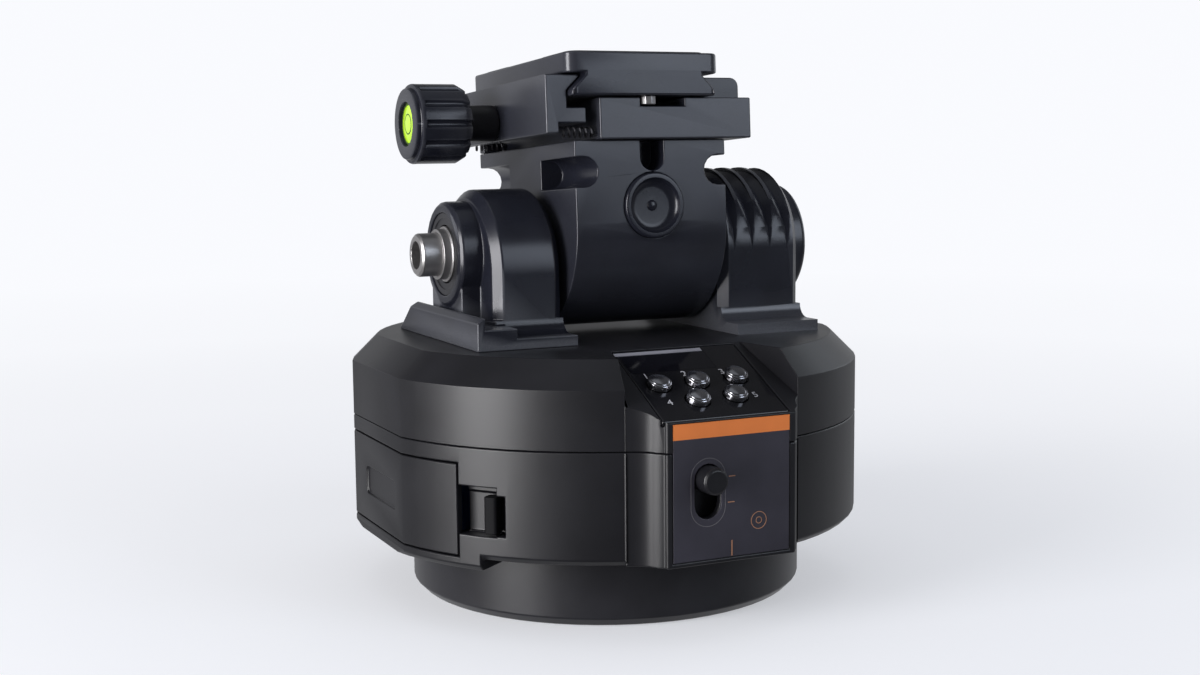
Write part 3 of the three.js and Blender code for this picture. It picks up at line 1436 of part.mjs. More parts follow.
// The carriage's top runs on behind as a tail under the rear of the clamp.
function tailSide() {
  const under = CARRIAGE_TOP_Z - TAIL_HEIGHT;
  const rear = CARRIAGE_HALF_DEPTH + TAIL_REACH;
  const shape = new THREE.Shape();
  shape.moveTo(0, CARRIAGE_TOP_Z);
  shape.lineTo(0, under - TAIL_ROUND);
  shape.lineTo(CARRIAGE_HALF_DEPTH, under - TAIL_ROUND);
  shape.absarc(
    CARRIAGE_HALF_DEPTH + TAIL_ROUND,
    under - TAIL_ROUND,
    TAIL_ROUND,
    Math.PI,
    Math.PI / 2,
    true,
  );
  shape.lineTo(rear, under);
  shape.lineTo(rear, CARRIAGE_TOP_Z);
  return shape;
}

function notch(sideX, inwards, [from, to]) {
  const radius = (NOTCH_HIGH_Z - NOTCH_LOW_Z) / 2;
  const end = sideX + inwards * (NOTCH_DEPTH - radius);
  const out = sideX - inwards * radius * 2;
  const shape = roundedBox(
    [Math.min(end - radius, out), NOTCH_LOW_Z],
    [Math.max(end + radius, out), NOTCH_HIGH_Z],
    radius,
  );
  return prism(shape, "y", [from, to], { steps: CORNER_STEPS });
}

function addCarriage(group) {
  const width = [CARRIAGE_LEFT_X, CARRIAGE_RIGHT_X];
  const inside = [CARRIAGE_LEFT_X + CARRIAGE_WALL, CARRIAGE_RIGHT_X - CARRIAGE_WALL];
  const outer = prism(carriageSide(0), "x", width, { steps: 2 * ARC_STEPS });
  const inner = prism(carriageSide(CARRIAGE_WALL), "x", inside);
  const tail = prism(tailSide(), "x", width, { steps: ARC_STEPS / 2 });
  const tailY = CARRIAGE_HALF_DEPTH + TAIL_REACH;
  const reach = tailY + OVER;
  const underRoof = block(inside, [-reach, reach], [-CARRIAGE_TOP_Z, CAVITY_TOP_Z]);
  const cavity = common(inner, underRoof);
  const opening = block(
    [inside[0] + WINDOW_LEDGE, inside[1] - WINDOW_LEDGE],
    [CARRIAGE_HALF_DEPTH / 2, reach],
    [WINDOW_SILL_Z, CAVITY_TOP_Z - WINDOW_LEDGE],
  );
  const cover = common(
    cut(outer, inner),
    block(
      [inside[0] + WINDOW_LEDGE + RUN, inside[1] - WINDOW_LEDGE - RUN],
      [CARRIAGE_HALF_DEPTH / 2, reach],
      [WINDOW_SILL_Z + RUN, CAVITY_TOP_Z - WINDOW_LEDGE - RUN],
    ),
  );
  const slotLowZ = CAP_Z + CAP_RADIUS + SLOT_WEB;
  const slot = prism(
    roundedBox(
      [CAP_X - SLOT_RADIUS, slotLowZ],
      [CAP_X + SLOT_RADIUS, CARRIAGE_TOP_Z + 2 * SLOT_RADIUS],
      SLOT_RADIUS,
    ),
    "y",
    [-CARRIAGE_HALF_DEPTH - OVER, SLOT_DEPTH - CARRIAGE_HALF_DEPTH],
    { steps: ARC_STEPS / 2 },
  );
  const front = [-CARRIAGE_HALF_DEPTH - OVER, NOTCH_FRONT_LENGTH - CARRIAGE_HALF_DEPTH];
  const rear = [tailY - NOTCH_REAR_LENGTH, reach];
  const notches = [front, rear].flatMap((span) => [
    notch(CARRIAGE_LEFT_X, 1, span),
    notch(CARRIAGE_RIGHT_X, -1, span),
  ]);
  const capPocket = rod(
    CAP_RADIUS + FIT,
    "y",
    [-CARRIAGE_HALF_DEPTH - OVER, CAP_SUNK + SEAT - CARRIAGE_HALF_DEPTH],
    [CAP_X, CAP_Z],
    ROUND_SIDES,
  );
  const tiltShaftBore = rod(
    TILT_SHAFT_RADIUS + FIT,
    "x",
    [CARRIAGE_LEFT_X - OVER, inside[0] + OVER],
    [0, 0],
    ROUND_SIDES,
  );
  const driveShaftBore = rod(DRIVE_SHAFT_RADIUS + FIT, "x", [
    inside[1] - OVER,
    CARRIAGE_RIGHT_X + OVER,
  ]);
  const screwBores = Object.values(clampScrewPlaces()).map((place) =>
    rod(CLAMP_SCREW_RADIUS + FIT, "z", [clampScrewLowZ() - SEAT, CARRIAGE_TOP_Z + OVER], place),
  );
  const body = cut(
    join(outer, tail),
    cavity,
    opening,
    slot,
    ...notches,
    capPocket,
    tiltShaftBore,
    driveShaftBore,
    ...screwBores,
  );
  piece(group, "tilt_carriage", body, BLACK_METAL);
  piece(group, "carriage_rear_cover", cover, BLACK_PLASTIC);

  const face = -CARRIAGE_HALF_DEPTH - CAP_PROUD;
  const dishZ = face + CAP_DISH_DEPTH;
  const cap = turned(
    [
      [0, CAP_SUNK - CARRIAGE_HALF_DEPTH],
      [CAP_RADIUS, CAP_SUNK - CARRIAGE_HALF_DEPTH],
      [CAP_RADIUS, face + CAP_EDGE],
      [CAP_RADIUS - CAP_EDGE, face],
      [CAP_RADIUS - CAP_RIM, face],
      [CAP_DISH_RADIUS, dishZ],
      [CAP_DOME_RADIUS, dishZ],
      [CAP_DOME_RADIUS - CAP_EDGE, dishZ - CAP_DOME_RISE],
      [0, dishZ - CAP_DOME_RISE],
    ],
    "y",
    [CAP_X, CAP_Z],
    ROUND_SIDES,
  );
  piece(group, "carriage_boss_cap", cap, BLACK_METAL);
}

function addTiltShafts(group) {
  const shaftEnd = CARRIAGE_LEFT_X + CARRIAGE_WALL;
  const shaft = cut(
    chamfered(
      TILT_SHAFT_RADIUS,
      TILT_SHAFT_CHAMFER,
      "x",
      [TILT_SHAFT_OUTER_X, shaftEnd],
      [0, 0],
      ROUND_SIDES,
    ),
    rod(TILT_SHAFT_BORE, "x", [
      TILT_SHAFT_OUTER_X - OVER,
      TILT_SHAFT_OUTER_X + TILT_SHAFT_BORE_DEPTH,
    ]),
  );
  piece(group, "tilt_shaft", shaft, BRIGHT_STEEL);

  const bossX = LEFT_ARM_OUTER_X - LEFT_BOSS_LENGTH;
  const inner = TILT_SHAFT_RADIUS + FIT;
  const race = turned(
    [
      [inner, bossX - TILT_COLLAR_LENGTH],
      [TILT_COLLAR_RADIUS, bossX - TILT_COLLAR_LENGTH],
      [TILT_COLLAR_RADIUS, bossX + RUN],
      [inner + TILT_RACE_WALL, bossX + RUN],
      [inner + TILT_RACE_WALL, bossX + RUN + TILT_BEARING_WIDTH],
      [inner, bossX + RUN + TILT_BEARING_WIDTH],
    ],
    "x",
    [0, 0],
    ROUND_SIDES,
  );
  piece(group, "tilt_bearing_inner_race", race, BRIGHT_STEEL);

  const driveShaft = rod(DRIVE_SHAFT_RADIUS, "x", [
    CARRIAGE_RIGHT_X - DRIVE_SHAFT_IN,
    COVER_X - RUN,
  ]);
  piece(group, "tilt_drive_shaft", driveShaft, DARK_STEEL);
  const teeth = gear(
    TILT_MODULE,
    TILT_GEAR_TEETH,
    -90 + TILT_AT_REST_DEG + 180 / TILT_GEAR_TEETH,
    "x",
    [TILT_GEAR_X, TILT_GEAR_X + TILT_GEAR_WIDTH],
    [0, 0],
  );
  const bore = rod(DRIVE_SHAFT_RADIUS + FIT, "x", [COVER_X - RIGHT_ARM_WIDTH, COVER_X]);
  piece(group, "tilt_gear", cut(teeth, bore), BRASS);
}

function clampScrewPlaces() {
  const x = GROOVE_LEFT_X + GROOVE_WIDTH / 2;
  return {
    clamp_screw_front: [x, CLAMP_CENTRE_Y - CLAMP_SCREW_SPACING / 2],
    clamp_screw_rear: [x, CLAMP_CENTRE_Y + CLAMP_SCREW_SPACING / 2],
  };
}

function clampScrewLowZ() {
  return BLOCK_TOP_Z - BLOCK_GROOVE_DEPTH - SEAT - CLAMP_SCREW_HEAD - CLAMP_SCREW_LENGTH;
}

// The fixed jaw and the moving jaw hook over the plate's dovetail with a running gap all round.
function addClampBase(group) {
  const grooveRight = GROOVE_LEFT_X + GROOVE_WIDTH;
  const grooveZ = BLOCK_TOP_Z - BLOCK_GROOVE_DEPTH;
  const body = polygon([
    [BLOCK_LEFT_X, BLOCK_Z],
    [BLOCK_RIGHT_X, BLOCK_Z],
    [BLOCK_RIGHT_X, BLOCK_TOP_Z],
    [grooveRight, BLOCK_TOP_Z],
    [grooveRight, grooveZ],
    [GROOVE_LEFT_X, grooveZ],
    [GROOVE_LEFT_X, BLOCK_TOP_Z],
    [BLOCK_LEFT_X, BLOCK_TOP_Z],
  ]);
  const jawFace = PLATE_X + PLATE_FLANGE_HALF_WIDTH + RUN;
  const jaw = new THREE.Shape();
  jaw.moveTo(jawFace, BLOCK_TOP_Z - SEAT);
  jaw.lineTo(BLOCK_RIGHT_X, BLOCK_TOP_Z - SEAT);
  jaw.lineTo(BLOCK_RIGHT_X, JAW_TOP_Z - FIXED_JAW_ROUND);
  jaw.absarc(
    BLOCK_RIGHT_X - FIXED_JAW_ROUND,
    JAW_TOP_Z - FIXED_JAW_ROUND,
    FIXED_JAW_ROUND,
    0,
    Math.PI / 2,
    false,
  );
  jaw.lineTo(jawFace - PLATE_NECK_IN, JAW_TOP_Z);
  jaw.lineTo(jawFace - PLATE_NECK_IN, NECK_Z);
  jaw.lineTo(jawFace, FLANGE_TOP_Z);
  const long = [CLAMP_CENTRE_Y - BLOCK_HALF_LENGTH, CLAMP_CENTRE_Y + BLOCK_HALF_LENGTH];
  const lug = block(
    [LUG_LEFT_X, BLOCK_LEFT_X + OVER],
    [LUG_REAR_Y - LUG_LENGTH, LUG_REAR_Y],
    [BLOCK_Z, BLOCK_Z + LUG_HEIGHT],
  );
  const rodBore = rod(
    ROD_RADIUS + RUN,
    "x",
    [BLOCK_LEFT_X - OVER, BLOCK_LEFT_X + ROD_IN_BLOCK + RUN],
    [CLAMP_CENTRE_Y, ROD_Z],
  );
  const headSpan = [grooveZ - SEAT - CLAMP_SCREW_HEAD - SEAT, grooveZ + OVER];
  const screwHoles = Object.values(clampScrewPlaces()).flatMap((place) => [
    rod(CLAMP_SCREW_HEAD_RADIUS + SEAT, "z", headSpan, place),
    rod(CLAMP_SCREW_RADIUS + SEAT, "z", [BLOCK_Z - OVER, grooveZ], place),
  ]);
  const clampBase = cut(
    join(
      prism(body, "y", long),
      prism(jaw, "y", [long[0] + FIXED_JAW_SET_BACK, long[1]], { steps: CORNER_STEPS }),
      lug,
    ),
    rodBore,
    ...screwHoles,
  );
  piece(group, "clamp_base", clampBase, BLACK_METAL);

  const headZ = grooveZ - SEAT - CLAMP_SCREW_HEAD;
  for (const [name, place] of Object.entries(clampScrewPlaces())) {
    const screw = turned(
      [
        [0, clampScrewLowZ()],
        [CLAMP_SCREW_RADIUS, clampScrewLowZ()],
        [CLAMP_SCREW_RADIUS, headZ],
        [CLAMP_SCREW_HEAD_RADIUS, headZ],
        [CLAMP_SCREW_HEAD_RADIUS, headZ + CLAMP_SCREW_HEAD],
        [0, headZ + CLAMP_SCREW_HEAD],
      ],
      "z",
      place,
    );
    const headTop = headZ + CLAMP_SCREW_HEAD;
    const socket = rod(HEX_RADIUS, "z", [headTop - HEX_DEPTH, headTop + OVER], place, HEX_SIDES);
    piece(group, name, cut(screw, socket), DARK_STEEL);
  }
}

function addPlate(group) {
  const side = [
    [PLATE_FLANGE_HALF_WIDTH, PLATE_Z],
    [PLATE_FLANGE_HALF_WIDTH, FLANGE_TOP_Z],
    [PLATE_FLANGE_HALF_WIDTH - PLATE_NECK_IN, NECK_Z],
    [PLATE_FLANGE_HALF_WIDTH - PLATE_NECK_IN, PLATE_UPPER_Z],
    [PLATE_TOP_HALF_WIDTH, PLATE_UPPER_Z],
    [PLATE_TOP_HALF_WIDTH, PLATE_TOP_Z],
  ];
  const section = polygon([
    ...side.map(([x, z]) => [PLATE_X + x, z]),
    ...side.toReversed().map(([x, z]) => [PLATE_X - x, z]),
  ]);
  const rearY = PLATE_FRONT_Y + PLATE_LENGTH;
  const plan = roundedBox(
    [PLATE_X - PLATE_TOP_HALF_WIDTH, PLATE_FRONT_Y],
    [PLATE_X + PLATE_TOP_HALF_WIDTH, rearY],
    PLATE_CORNER,
  );
  const padX = [PLATE_X - PAD_WIDTH / 2, PLATE_X + PAD_WIDTH / 2];
  const padSpans = {
    plate_pad_front: [PLATE_FRONT_Y + PAD_END_MARGIN, PLATE_FRONT_Y + PAD_END_MARGIN + PAD_LENGTH],
    plate_pad_rear: [rearY - PAD_END_MARGIN - PAD_LENGTH, rearY - PAD_END_MARGIN],
  };
  const padShape = ([from, to], gap) =>
    roundedBox([padX[0] - gap, from - gap], [padX[1] + gap, to + gap], PLATE_CORNER);
  const padPockets = Object.values(padSpans).map((span) =>
    prism(padShape(span, SEAT), "z", [PLATE_TOP_Z - PAD_SUNK - SEAT, PLATE_TOP_Z + OVER], {
      steps: CORNER_STEPS,
    }),
  );
  const screwPlace = [PLATE_X, PLATE_CENTRE_Y];
  const headRoom = CAMERA_SCREW_HEAD + CAMERA_SCREW_LIFT + RUN;
  const headPocket = rod(
    CAMERA_SCREW_HEAD_RADIUS + RUN,
    "z",
    [PLATE_Z - OVER, PLATE_Z + headRoom],
    screwPlace,
    ROUND_SIDES,
  );
  const screwHole = rod(SMALL_THREAD_RADIUS + RUN, "z", [PLATE_Z, PLATE_TOP_Z + OVER], screwPlace);
  const pinPlace = [STOP_PIN_X, PLATE_FRONT_Y + STOP_PIN_BACK];
  const pinBore = rod(
    STOP_PIN_SHANK_RADIUS + FIT,
    "z",
    [PLATE_Z - OVER, PLATE_Z + STOP_PIN_SHANK + SEAT],
    pinPlace,
    TINY_SIDES,
  );
  const plate = cut(
    common(
      prism(section, "y", [PLATE_FRONT_Y, rearY]),
      prism(plan, "z", [PLATE_Z, PLATE_TOP_Z], { steps: CORNER_STEPS }),
    ),
    ...padPockets,
    headPocket,
    screwHole,
    pinBore,
  );
  piece(group, "quick_release_plate", plate, BLACK_METAL);
  for (const [name, span] of Object.entries(padSpans)) {
    const low = PLATE_TOP_Z - PAD_SUNK;
    const pad = prism(padShape(span, 0), "z", [low, low + PAD_THICKNESS], { steps: CORNER_STEPS });
    piece(group, name, pad, RUBBER);
  }

  const headTop = PLATE_Z + CAMERA_SCREW_HEAD;
  const screw = turned(
    [
      [0, PLATE_Z],
      [CAMERA_SCREW_HEAD_RADIUS, PLATE_Z],
      [CAMERA_SCREW_HEAD_RADIUS, headTop],
      [SMALL_THREAD_RADIUS, headTop],
      [SMALL_THREAD_RADIUS, PLATE_TOP_Z - SEAT],
      [0, PLATE_TOP_Z - SEAT],
    ],
    "z",
    screwPlace,
    ROUND_SIDES,
  );
  const coinSlot = block(
    [PLATE_X - CAMERA_SCREW_HEAD_RADIUS - OVER, PLATE_X + CAMERA_SCREW_HEAD_RADIUS + OVER],
    [PLATE_CENTRE_Y - COIN_SLOT_WIDTH / 2, PLATE_CENTRE_Y + COIN_SLOT_WIDTH / 2],
    [PLATE_Z - OVER, PLATE_Z + COIN_SLOT_DEPTH],
  );
  piece(group, "camera_screw", cut(screw, coinSlot), BRIGHT_STEEL);

  const pinLow = BLOCK_TOP_Z - BLOCK_GROOVE_DEPTH + RUN;
  const pin = turned(
    [
      [0, pinLow],
      [STOP_PIN_RADIUS, pinLow],
      [STOP_PIN_RADIUS, PLATE_Z - SEAT],
      [STOP_PIN_SHANK_RADIUS, PLATE_Z - SEAT],
      [STOP_PIN_SHANK_RADIUS, PLATE_Z + STOP_PIN_SHANK],
      [0, PLATE_Z + STOP_PIN_SHANK],
    ],
    "z",
    pinPlace,
    TINY_SIDES,
  );
  piece(group, "plate_stop_pin", pin, CHROME);
}

function addMovingJaw(group) {
  const jawFace = PLATE_X - PLATE_FLANGE_HALF_WIDTH - RUN;
  const apronX = JAW_OUTER_X + JAW_APRON_WIDTH;
  const section = polygon([
    [JAW_OUTER_X, JAW_APRON_Z],
    [apronX, JAW_APRON_Z],
    [apronX, JAW_BAR_Z],
    [JAW_TONGUE_X, JAW_BAR_Z],
    [JAW_TONGUE_X, JAW_TONGUE_Z],
    [jawFace, JAW_TONGUE_Z],
    [jawFace, FLANGE_TOP_Z],
    [jawFace + PLATE_NECK_IN, NECK_Z],
    [jawFace + PLATE_NECK_IN, JAW_TOP_Z],
    [JAW_OUTER_X, JAW_TOP_Z],
  ]);
  const axis = [CLAMP_CENTRE_Y, ROD_Z];
  const rodHole = rod(ROD_RADIUS + RUN, "x", [JAW_OUTER_X - OVER, JAW_TONGUE_X + OVER], axis);
  const jaw = cut(prism(section, "y", [JAW_FRONT_Y, JAW_FRONT_Y + JAW_LENGTH]), rodHole);
  piece(group, "moving_jaw", jaw, BLACK_METAL);

  const rodFrom = KNOB_X - ROD_IN_KNOB;
  const clampRod = rod(ROD_RADIUS, "x", [rodFrom, BLOCK_LEFT_X + ROD_IN_BLOCK], axis);
  piece(group, "clamp_rod", clampRod, DARK_STEEL);
  const sleeveFrom = KNOB_X + SEAT;
  const sleeve = tube(
    SLEEVE_RADIUS,
    ROD_RADIUS + FIT,
    "x",
    [sleeveFrom, sleeveFrom + SLEEVE_LENGTH],
    axis,
  );
  piece(group, "clamp_neck_sleeve", sleeve, BLACK_METAL);

  const knobEnd = KNOB_X - KNOB_LENGTH;
  const shoulder = knobEnd + KNOB_RIM_LENGTH;
  const grooves = [];
  for (let i = 0; i < KNOB_GROOVES; i += 1) {
    const angle = (2 * Math.PI * i) / KNOB_GROOVES;
    const place = [
      axis[0] + KNOB_RADIUS * Math.cos(angle),
      axis[1] + KNOB_RADIUS * Math.sin(angle),
    ];
    grooves.push(
      rod(KNOB_GROOVE_RADIUS, "x", [shoulder + KNOB_COLLAR, KNOB_X + OVER], place, TINY_SIDES),
    );
  }
  const levelFrom = knobEnd + LEVEL_SUNK;
  const knob = cut(
    turned(
      [
        [0, knobEnd],
        [KNOB_RIM_RADIUS - KNOB_EDGE, knobEnd],
        [KNOB_RIM_RADIUS, knobEnd + KNOB_EDGE],
        [KNOB_RIM_RADIUS, shoulder],
        [KNOB_RADIUS - KNOB_EDGE, shoulder],
        [KNOB_RADIUS, shoulder + KNOB_EDGE],
        [KNOB_RADIUS, KNOB_X - KNOB_TAPER_LENGTH],
        [KNOB_RADIUS - KNOB_TAPER, KNOB_X],
        [0, KNOB_X],
      ],
      "x",
      axis,
      ROUND_SIDES,
    ),
    ...grooves,
    rod(ROD_RADIUS + FIT, "x", [rodFrom - SEAT, KNOB_X + OVER], axis),
    rod(LEVEL_RADIUS + FIT, "x", [knobEnd - OVER, levelFrom + LEVEL_THICKNESS + SEAT], axis),
  );
  piece(group, "clamp_knob", knob, BLACK_METAL);
  const level = turned(
    [
      [0, levelFrom],
      [LEVEL_RADIUS - LEVEL_EDGE, levelFrom],
      [LEVEL_RADIUS, levelFrom + LEVEL_EDGE],
      [LEVEL_RADIUS, levelFrom + LEVEL_THICKNESS],
      [0, levelFrom + LEVEL_THICKNESS],
    ],
    "x",
    axis,
  );
  piece(group, "bubble_level", level, LEVEL_GREEN);
}

// A compression spring along X: one unbroken wire whose ends run straight out of the coil.
class SpringCurve extends THREE.Curve {
  constructor(from, to, y) {
    super();
    Object.assign(this, { from, to, y, lead: 2 * SPRING_WIRE_RADIUS });
  }

  getPoint(t, target = new THREE.Vector3()) {
    const length = this.to - this.from;
    const x = this.from + length * t;
    const coil = THREE.MathUtils.clamp((length * t - this.lead) / (length - 2 * this.lead), 0, 1);
    const angle = 2 * Math.PI * SPRING_TURNS * coil;
    const y = this.y + SPRING_RADIUS * Math.cos(angle);
    return target.set(x, y, SPRING_Z + SPRING_RADIUS * Math.sin(angle));
  }
}

// The least clear distance between neighbouring turns, measured on points along the wire.
function leastGap(curve) {
  const points = curve.getPoints(SPRING_TURNS * SPRING_STEPS);
  let least = Infinity;
  for (let i = 0; i < points.length; i += 1) {
    for (let k = i + SPRING_STEPS / 2; k < points.length; k += 1) {
      least = Math.min(least, points[i].distanceTo(points[k]));
    }
  }
  return least - 2 * SPRING_WIRE_RADIUS;
}

function addSprings(group) {
  const places = {
    jaw_spring_front: JAW_FRONT_Y + SPRING_MARGIN,
    jaw_spring_rear: LUG_REAR_Y - LUG_LENGTH - SPRING_MARGIN,
  };
  for (const [name, y] of Object.entries(places)) {
    const curve = new SpringCurve(JAW_OUTER_X + JAW_APRON_WIDTH + RUN, BLOCK_LEFT_X - RUN, y);
    const wire = [];
    for (let i = 0; i < SPRING_SIDES; i += 1) {
      const angle = (2 * Math.PI * i) / SPRING_SIDES;
      wire.push([SPRING_WIRE_RADIUS * Math.cos(angle), SPRING_WIRE_RADIUS * Math.sin(angle)]);
    }
    const geometry = new THREE.ExtrudeGeometry(polygon(wire), {
      steps: SPRING_TURNS * SPRING_STEPS,
      bevelEnabled: false,
      extrudePath: curve,
    });
    piece(group, name, solid(geometry), BRIGHT_STEEL);
    console.log(`${name}: least gap to itself ${leastGap(curve).toFixed(2)} mm`);
  }
}

const head = new THREE.Group();
addBase(head);
addLowerHousing(head);
addUpperHousing(head);
addDrumContents(head);
addBatteryDoor(head);
addFrontPanel(head);
addControlDeck(head);
addLeftArm(head);
addRightArm(head);

// The tilting assembly, drawn level about the tilt axis and turned a little nose-up.
const tilting = new THREE.Group();
tilting.position.z = AXIS_Z;
tilting.rotation.x = -radians(TILT_AT_REST_DEG);
head.add(tilting);
addTiltShafts(tilting);
addCarriage(tilting);
addClampBase(tilting);
addPlate(tilting);
addMovingJaw(tilting);
addSprings(tilting);

export default head;
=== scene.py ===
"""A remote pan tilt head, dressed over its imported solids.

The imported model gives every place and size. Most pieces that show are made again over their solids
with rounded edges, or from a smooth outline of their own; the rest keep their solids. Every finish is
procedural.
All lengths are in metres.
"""

import json
import logging
import math
from collections.abc import Callable, Sequence
from dataclasses import dataclass, field
from enum import Enum
from typing import Any

import bmesh
import bpy
from mathutils import Matrix, Vector

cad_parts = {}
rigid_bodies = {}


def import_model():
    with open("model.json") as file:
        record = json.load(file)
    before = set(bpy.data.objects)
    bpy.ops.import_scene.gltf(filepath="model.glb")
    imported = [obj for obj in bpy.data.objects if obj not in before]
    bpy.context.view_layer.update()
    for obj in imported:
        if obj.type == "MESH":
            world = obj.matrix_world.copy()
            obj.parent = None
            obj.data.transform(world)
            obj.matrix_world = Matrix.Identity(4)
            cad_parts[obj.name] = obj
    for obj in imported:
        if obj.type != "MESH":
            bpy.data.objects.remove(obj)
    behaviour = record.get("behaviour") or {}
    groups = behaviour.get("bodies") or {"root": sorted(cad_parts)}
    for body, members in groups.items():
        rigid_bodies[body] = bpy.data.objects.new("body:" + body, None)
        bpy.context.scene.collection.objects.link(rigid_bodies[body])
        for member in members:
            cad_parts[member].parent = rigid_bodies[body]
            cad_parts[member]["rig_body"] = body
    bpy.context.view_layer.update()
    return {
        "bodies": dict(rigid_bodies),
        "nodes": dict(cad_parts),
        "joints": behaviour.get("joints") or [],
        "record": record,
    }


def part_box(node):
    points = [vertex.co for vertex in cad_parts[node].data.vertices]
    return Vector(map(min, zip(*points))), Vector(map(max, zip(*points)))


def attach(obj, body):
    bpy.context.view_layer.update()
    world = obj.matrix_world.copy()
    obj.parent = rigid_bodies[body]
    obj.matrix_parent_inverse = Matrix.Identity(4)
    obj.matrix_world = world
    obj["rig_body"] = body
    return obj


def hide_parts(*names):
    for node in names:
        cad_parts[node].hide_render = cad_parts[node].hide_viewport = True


LOG = logging.getLogger("pan_tilt_head")
MM = 0.001
TILT_AXIS_Z = 79.5 * MM
TILT_AT_REST_DEG = -3.3

SHARP = 0.0
FILM_EDGE = 0.12 * MM
FINE_EDGE = 0.15 * MM
SMALL_EDGE = 0.2 * MM
TRIM_EDGE = 0.25 * MM
METAL_EDGE = 0.3 * MM
CASE_EDGE = 0.35 * MM

Colour = tuple[float, float, float]
Point = tuple[float, float, float]
Pairs = Sequence[tuple[float, float]]

POLE_RADIUS = 1e-9
BARE_METAL: Colour = (0.32, 0.33, 0.36)
CLOUD_SIZE = 14.0 * MM
GRAIN_GLOSS = 0.12
COAT_ROUGHNESS = 0.08


class Axis(Enum):
    """The direction that a turned or extruded piece runs along."""

    X = 0
    Y = 1
    Z = 2


class Socket:
    """One node's output. Arithmetic on it adds Math nodes to its graph."""

    def __init__(self, graph: "Graph", link: bpy.types.NodeSocket) -> None:
        """Keeps the output and the graph it belongs to.

        Args:
            graph: the graph that new nodes go into.
            link: the node output that is wrapped.
        """
        self.graph = graph
        self.link = link

    def maths(self, operation: str, first: Any, second: Any) -> "Socket":
        """Adds one Math node.

        Args:
            operation: the Math node's operation.
            first: a socket or number.
            second: a socket or number.

        Returns:
            The node's value.
        """
        return self.graph.add("ShaderNodeMath", {"operation": operation}, {0: first, 1: second})

    def __add__(self, other: Any) -> "Socket":
        """self + other."""
        return self.maths("ADD", self, other)

    def __radd__(self, other: Any) -> "Socket":
        """other + self."""
        return self.maths("ADD", other, self)

    def __sub__(self, other: Any) -> "Socket":
        """self - other."""
        return self.maths("SUBTRACT", self, other)

    def __rsub__(self, other: Any) -> "Socket":
        """other - self."""
        return self.maths("SUBTRACT", other, self)

    def __mul__(self, other: Any) -> "Socket":
        """self * other."""
        return self.maths("MULTIPLY", self, other)

    def __rmul__(self, other: Any) -> "Socket":
        """other * self."""
        return self.maths("MULTIPLY", other, self)


class Graph:
    """A material's or the world's node tree, filled by one method."""

    def __init__(self, owner: bpy.types.Material | bpy.types.World) -> None:
        """Empties the owner's tree.

        Args:
            owner: the material or world to fill.
        """
        owner.use_nodes = True
        self.tree = owner.node_tree
        self.tree.nodes.clear()

    def add(
        self, kind: str, settings: dict[str, Any], inputs: dict[Any, Any], output: Any = 0
    ) -> Socket:
        """Adds one node.

        Args:
            kind: the node's type.
            settings: its properties, set first. "stops" gives a ramp's (place, colour) pairs.
            inputs: a value or link for each socket, by name or number.
            output: the output to hand back, by name or number.

        Returns:
            That output.
        """
        node = self.tree.nodes.new(kind)
        for name, value in settings.items():
            if name == "stops":
                self._set_stops(node, value)
            else:
                setattr(node, name, value)
        for key, value in inputs.items():
            socket = node.inputs[key]
            if isinstance(value, Socket):
                self.tree.links.new(value.link, socket)
            elif isinstance(value, tuple) and len(value) == 3 and socket.type == "RGBA":
                socket.default_value = (*value, 1.0)
            else:
                socket.default_value = value
        return Socket(self, node.outputs[output]) if node.outputs else Socket(self, None)

    @staticmethod
    def _set_stops(node: bpy.types.Node, stops: Pairs) -> None:
        """Gives a ramp grey stops.

        Args:
            node: the ramp node.
            stops: pairs of place and grey level.
        """
        elements = node.color_ramp.elements
        while len(elements) < len(stops):
            elements.new(0.5)
        for element, (place, level) in zip(elements, stops, strict=True):
            element.position = place
            element.color = (level, level, level, 1.0)

    def place(self) -> Socket:
        """The point on the piece, in metres."""
        return self.add("ShaderNodeTexCoord", {}, {}, "Object")

    def stretched(self, point: Socket, scale: Point) -> Socket:
        """The point, scaled by a different amount along each axis.

        Args:
            point: the point to scale.
            scale: the factor along x, y and z.

        Returns:
            The scaled point.
        """
        return self.add("ShaderNodeVectorMath", {"operation": "MULTIPLY"}, {0: point, 1: scale})

    def noise(self, point: Socket, size: float, detail: float = 2.0, rough: float = 0.55) -> Socket:
        """Soft noise about 0.5.

        Args:
            point: where it is read.
            size: the size of its largest spots, in metres.
            detail: how many finer layers it has.
            rough: how strong the finer layers are.

        Returns:
            The noise, from 0 to 1.
        """
        return self.add(
            "ShaderNodeTexNoise",
            {"noise_dimensions": "3D"},
            {"Vector": point, "Scale": 1.0 / size, "Detail": detail, "Roughness": rough},
        )

    def ramp(self, value: Socket, stops: Pairs) -> Socket:
        """The value, passed through grey stops.

        Args:
            value: the value to map.
            stops: pairs of place and level.

        Returns:
            The mapped value.
        """
        return self.add("ShaderNodeValToRGB", {"stops": stops}, {0: value})

    def blend(self, share: Socket, first: Any, second: Any) -> Socket:
        """A colour between two.

        Args:
            share: 0 for the first colour, 1 for the second.
            first: a colour or link.
            second: a colour or link.

        Returns:
            The blended colour.
        """
        colours = {"Factor": share, 6: first, 7: second}
        return self.add("ShaderNodeMix", {"data_type": "RGBA"}, colours, 2)

    def ray_is(self, kind: str) -> Socket:
        """1 where the light path's ray is of a kind, such as Camera or Glossy, and 0 elsewhere."""
        return self.add("ShaderNodeLightPath", {}, {}, f"Is {kind} Ray")


def scaled(colour: Colour, factor: float) -> Colour:
    """The colour times a factor."""
    return (colour[0] * factor, colour[1] * factor, colour[2] * factor)


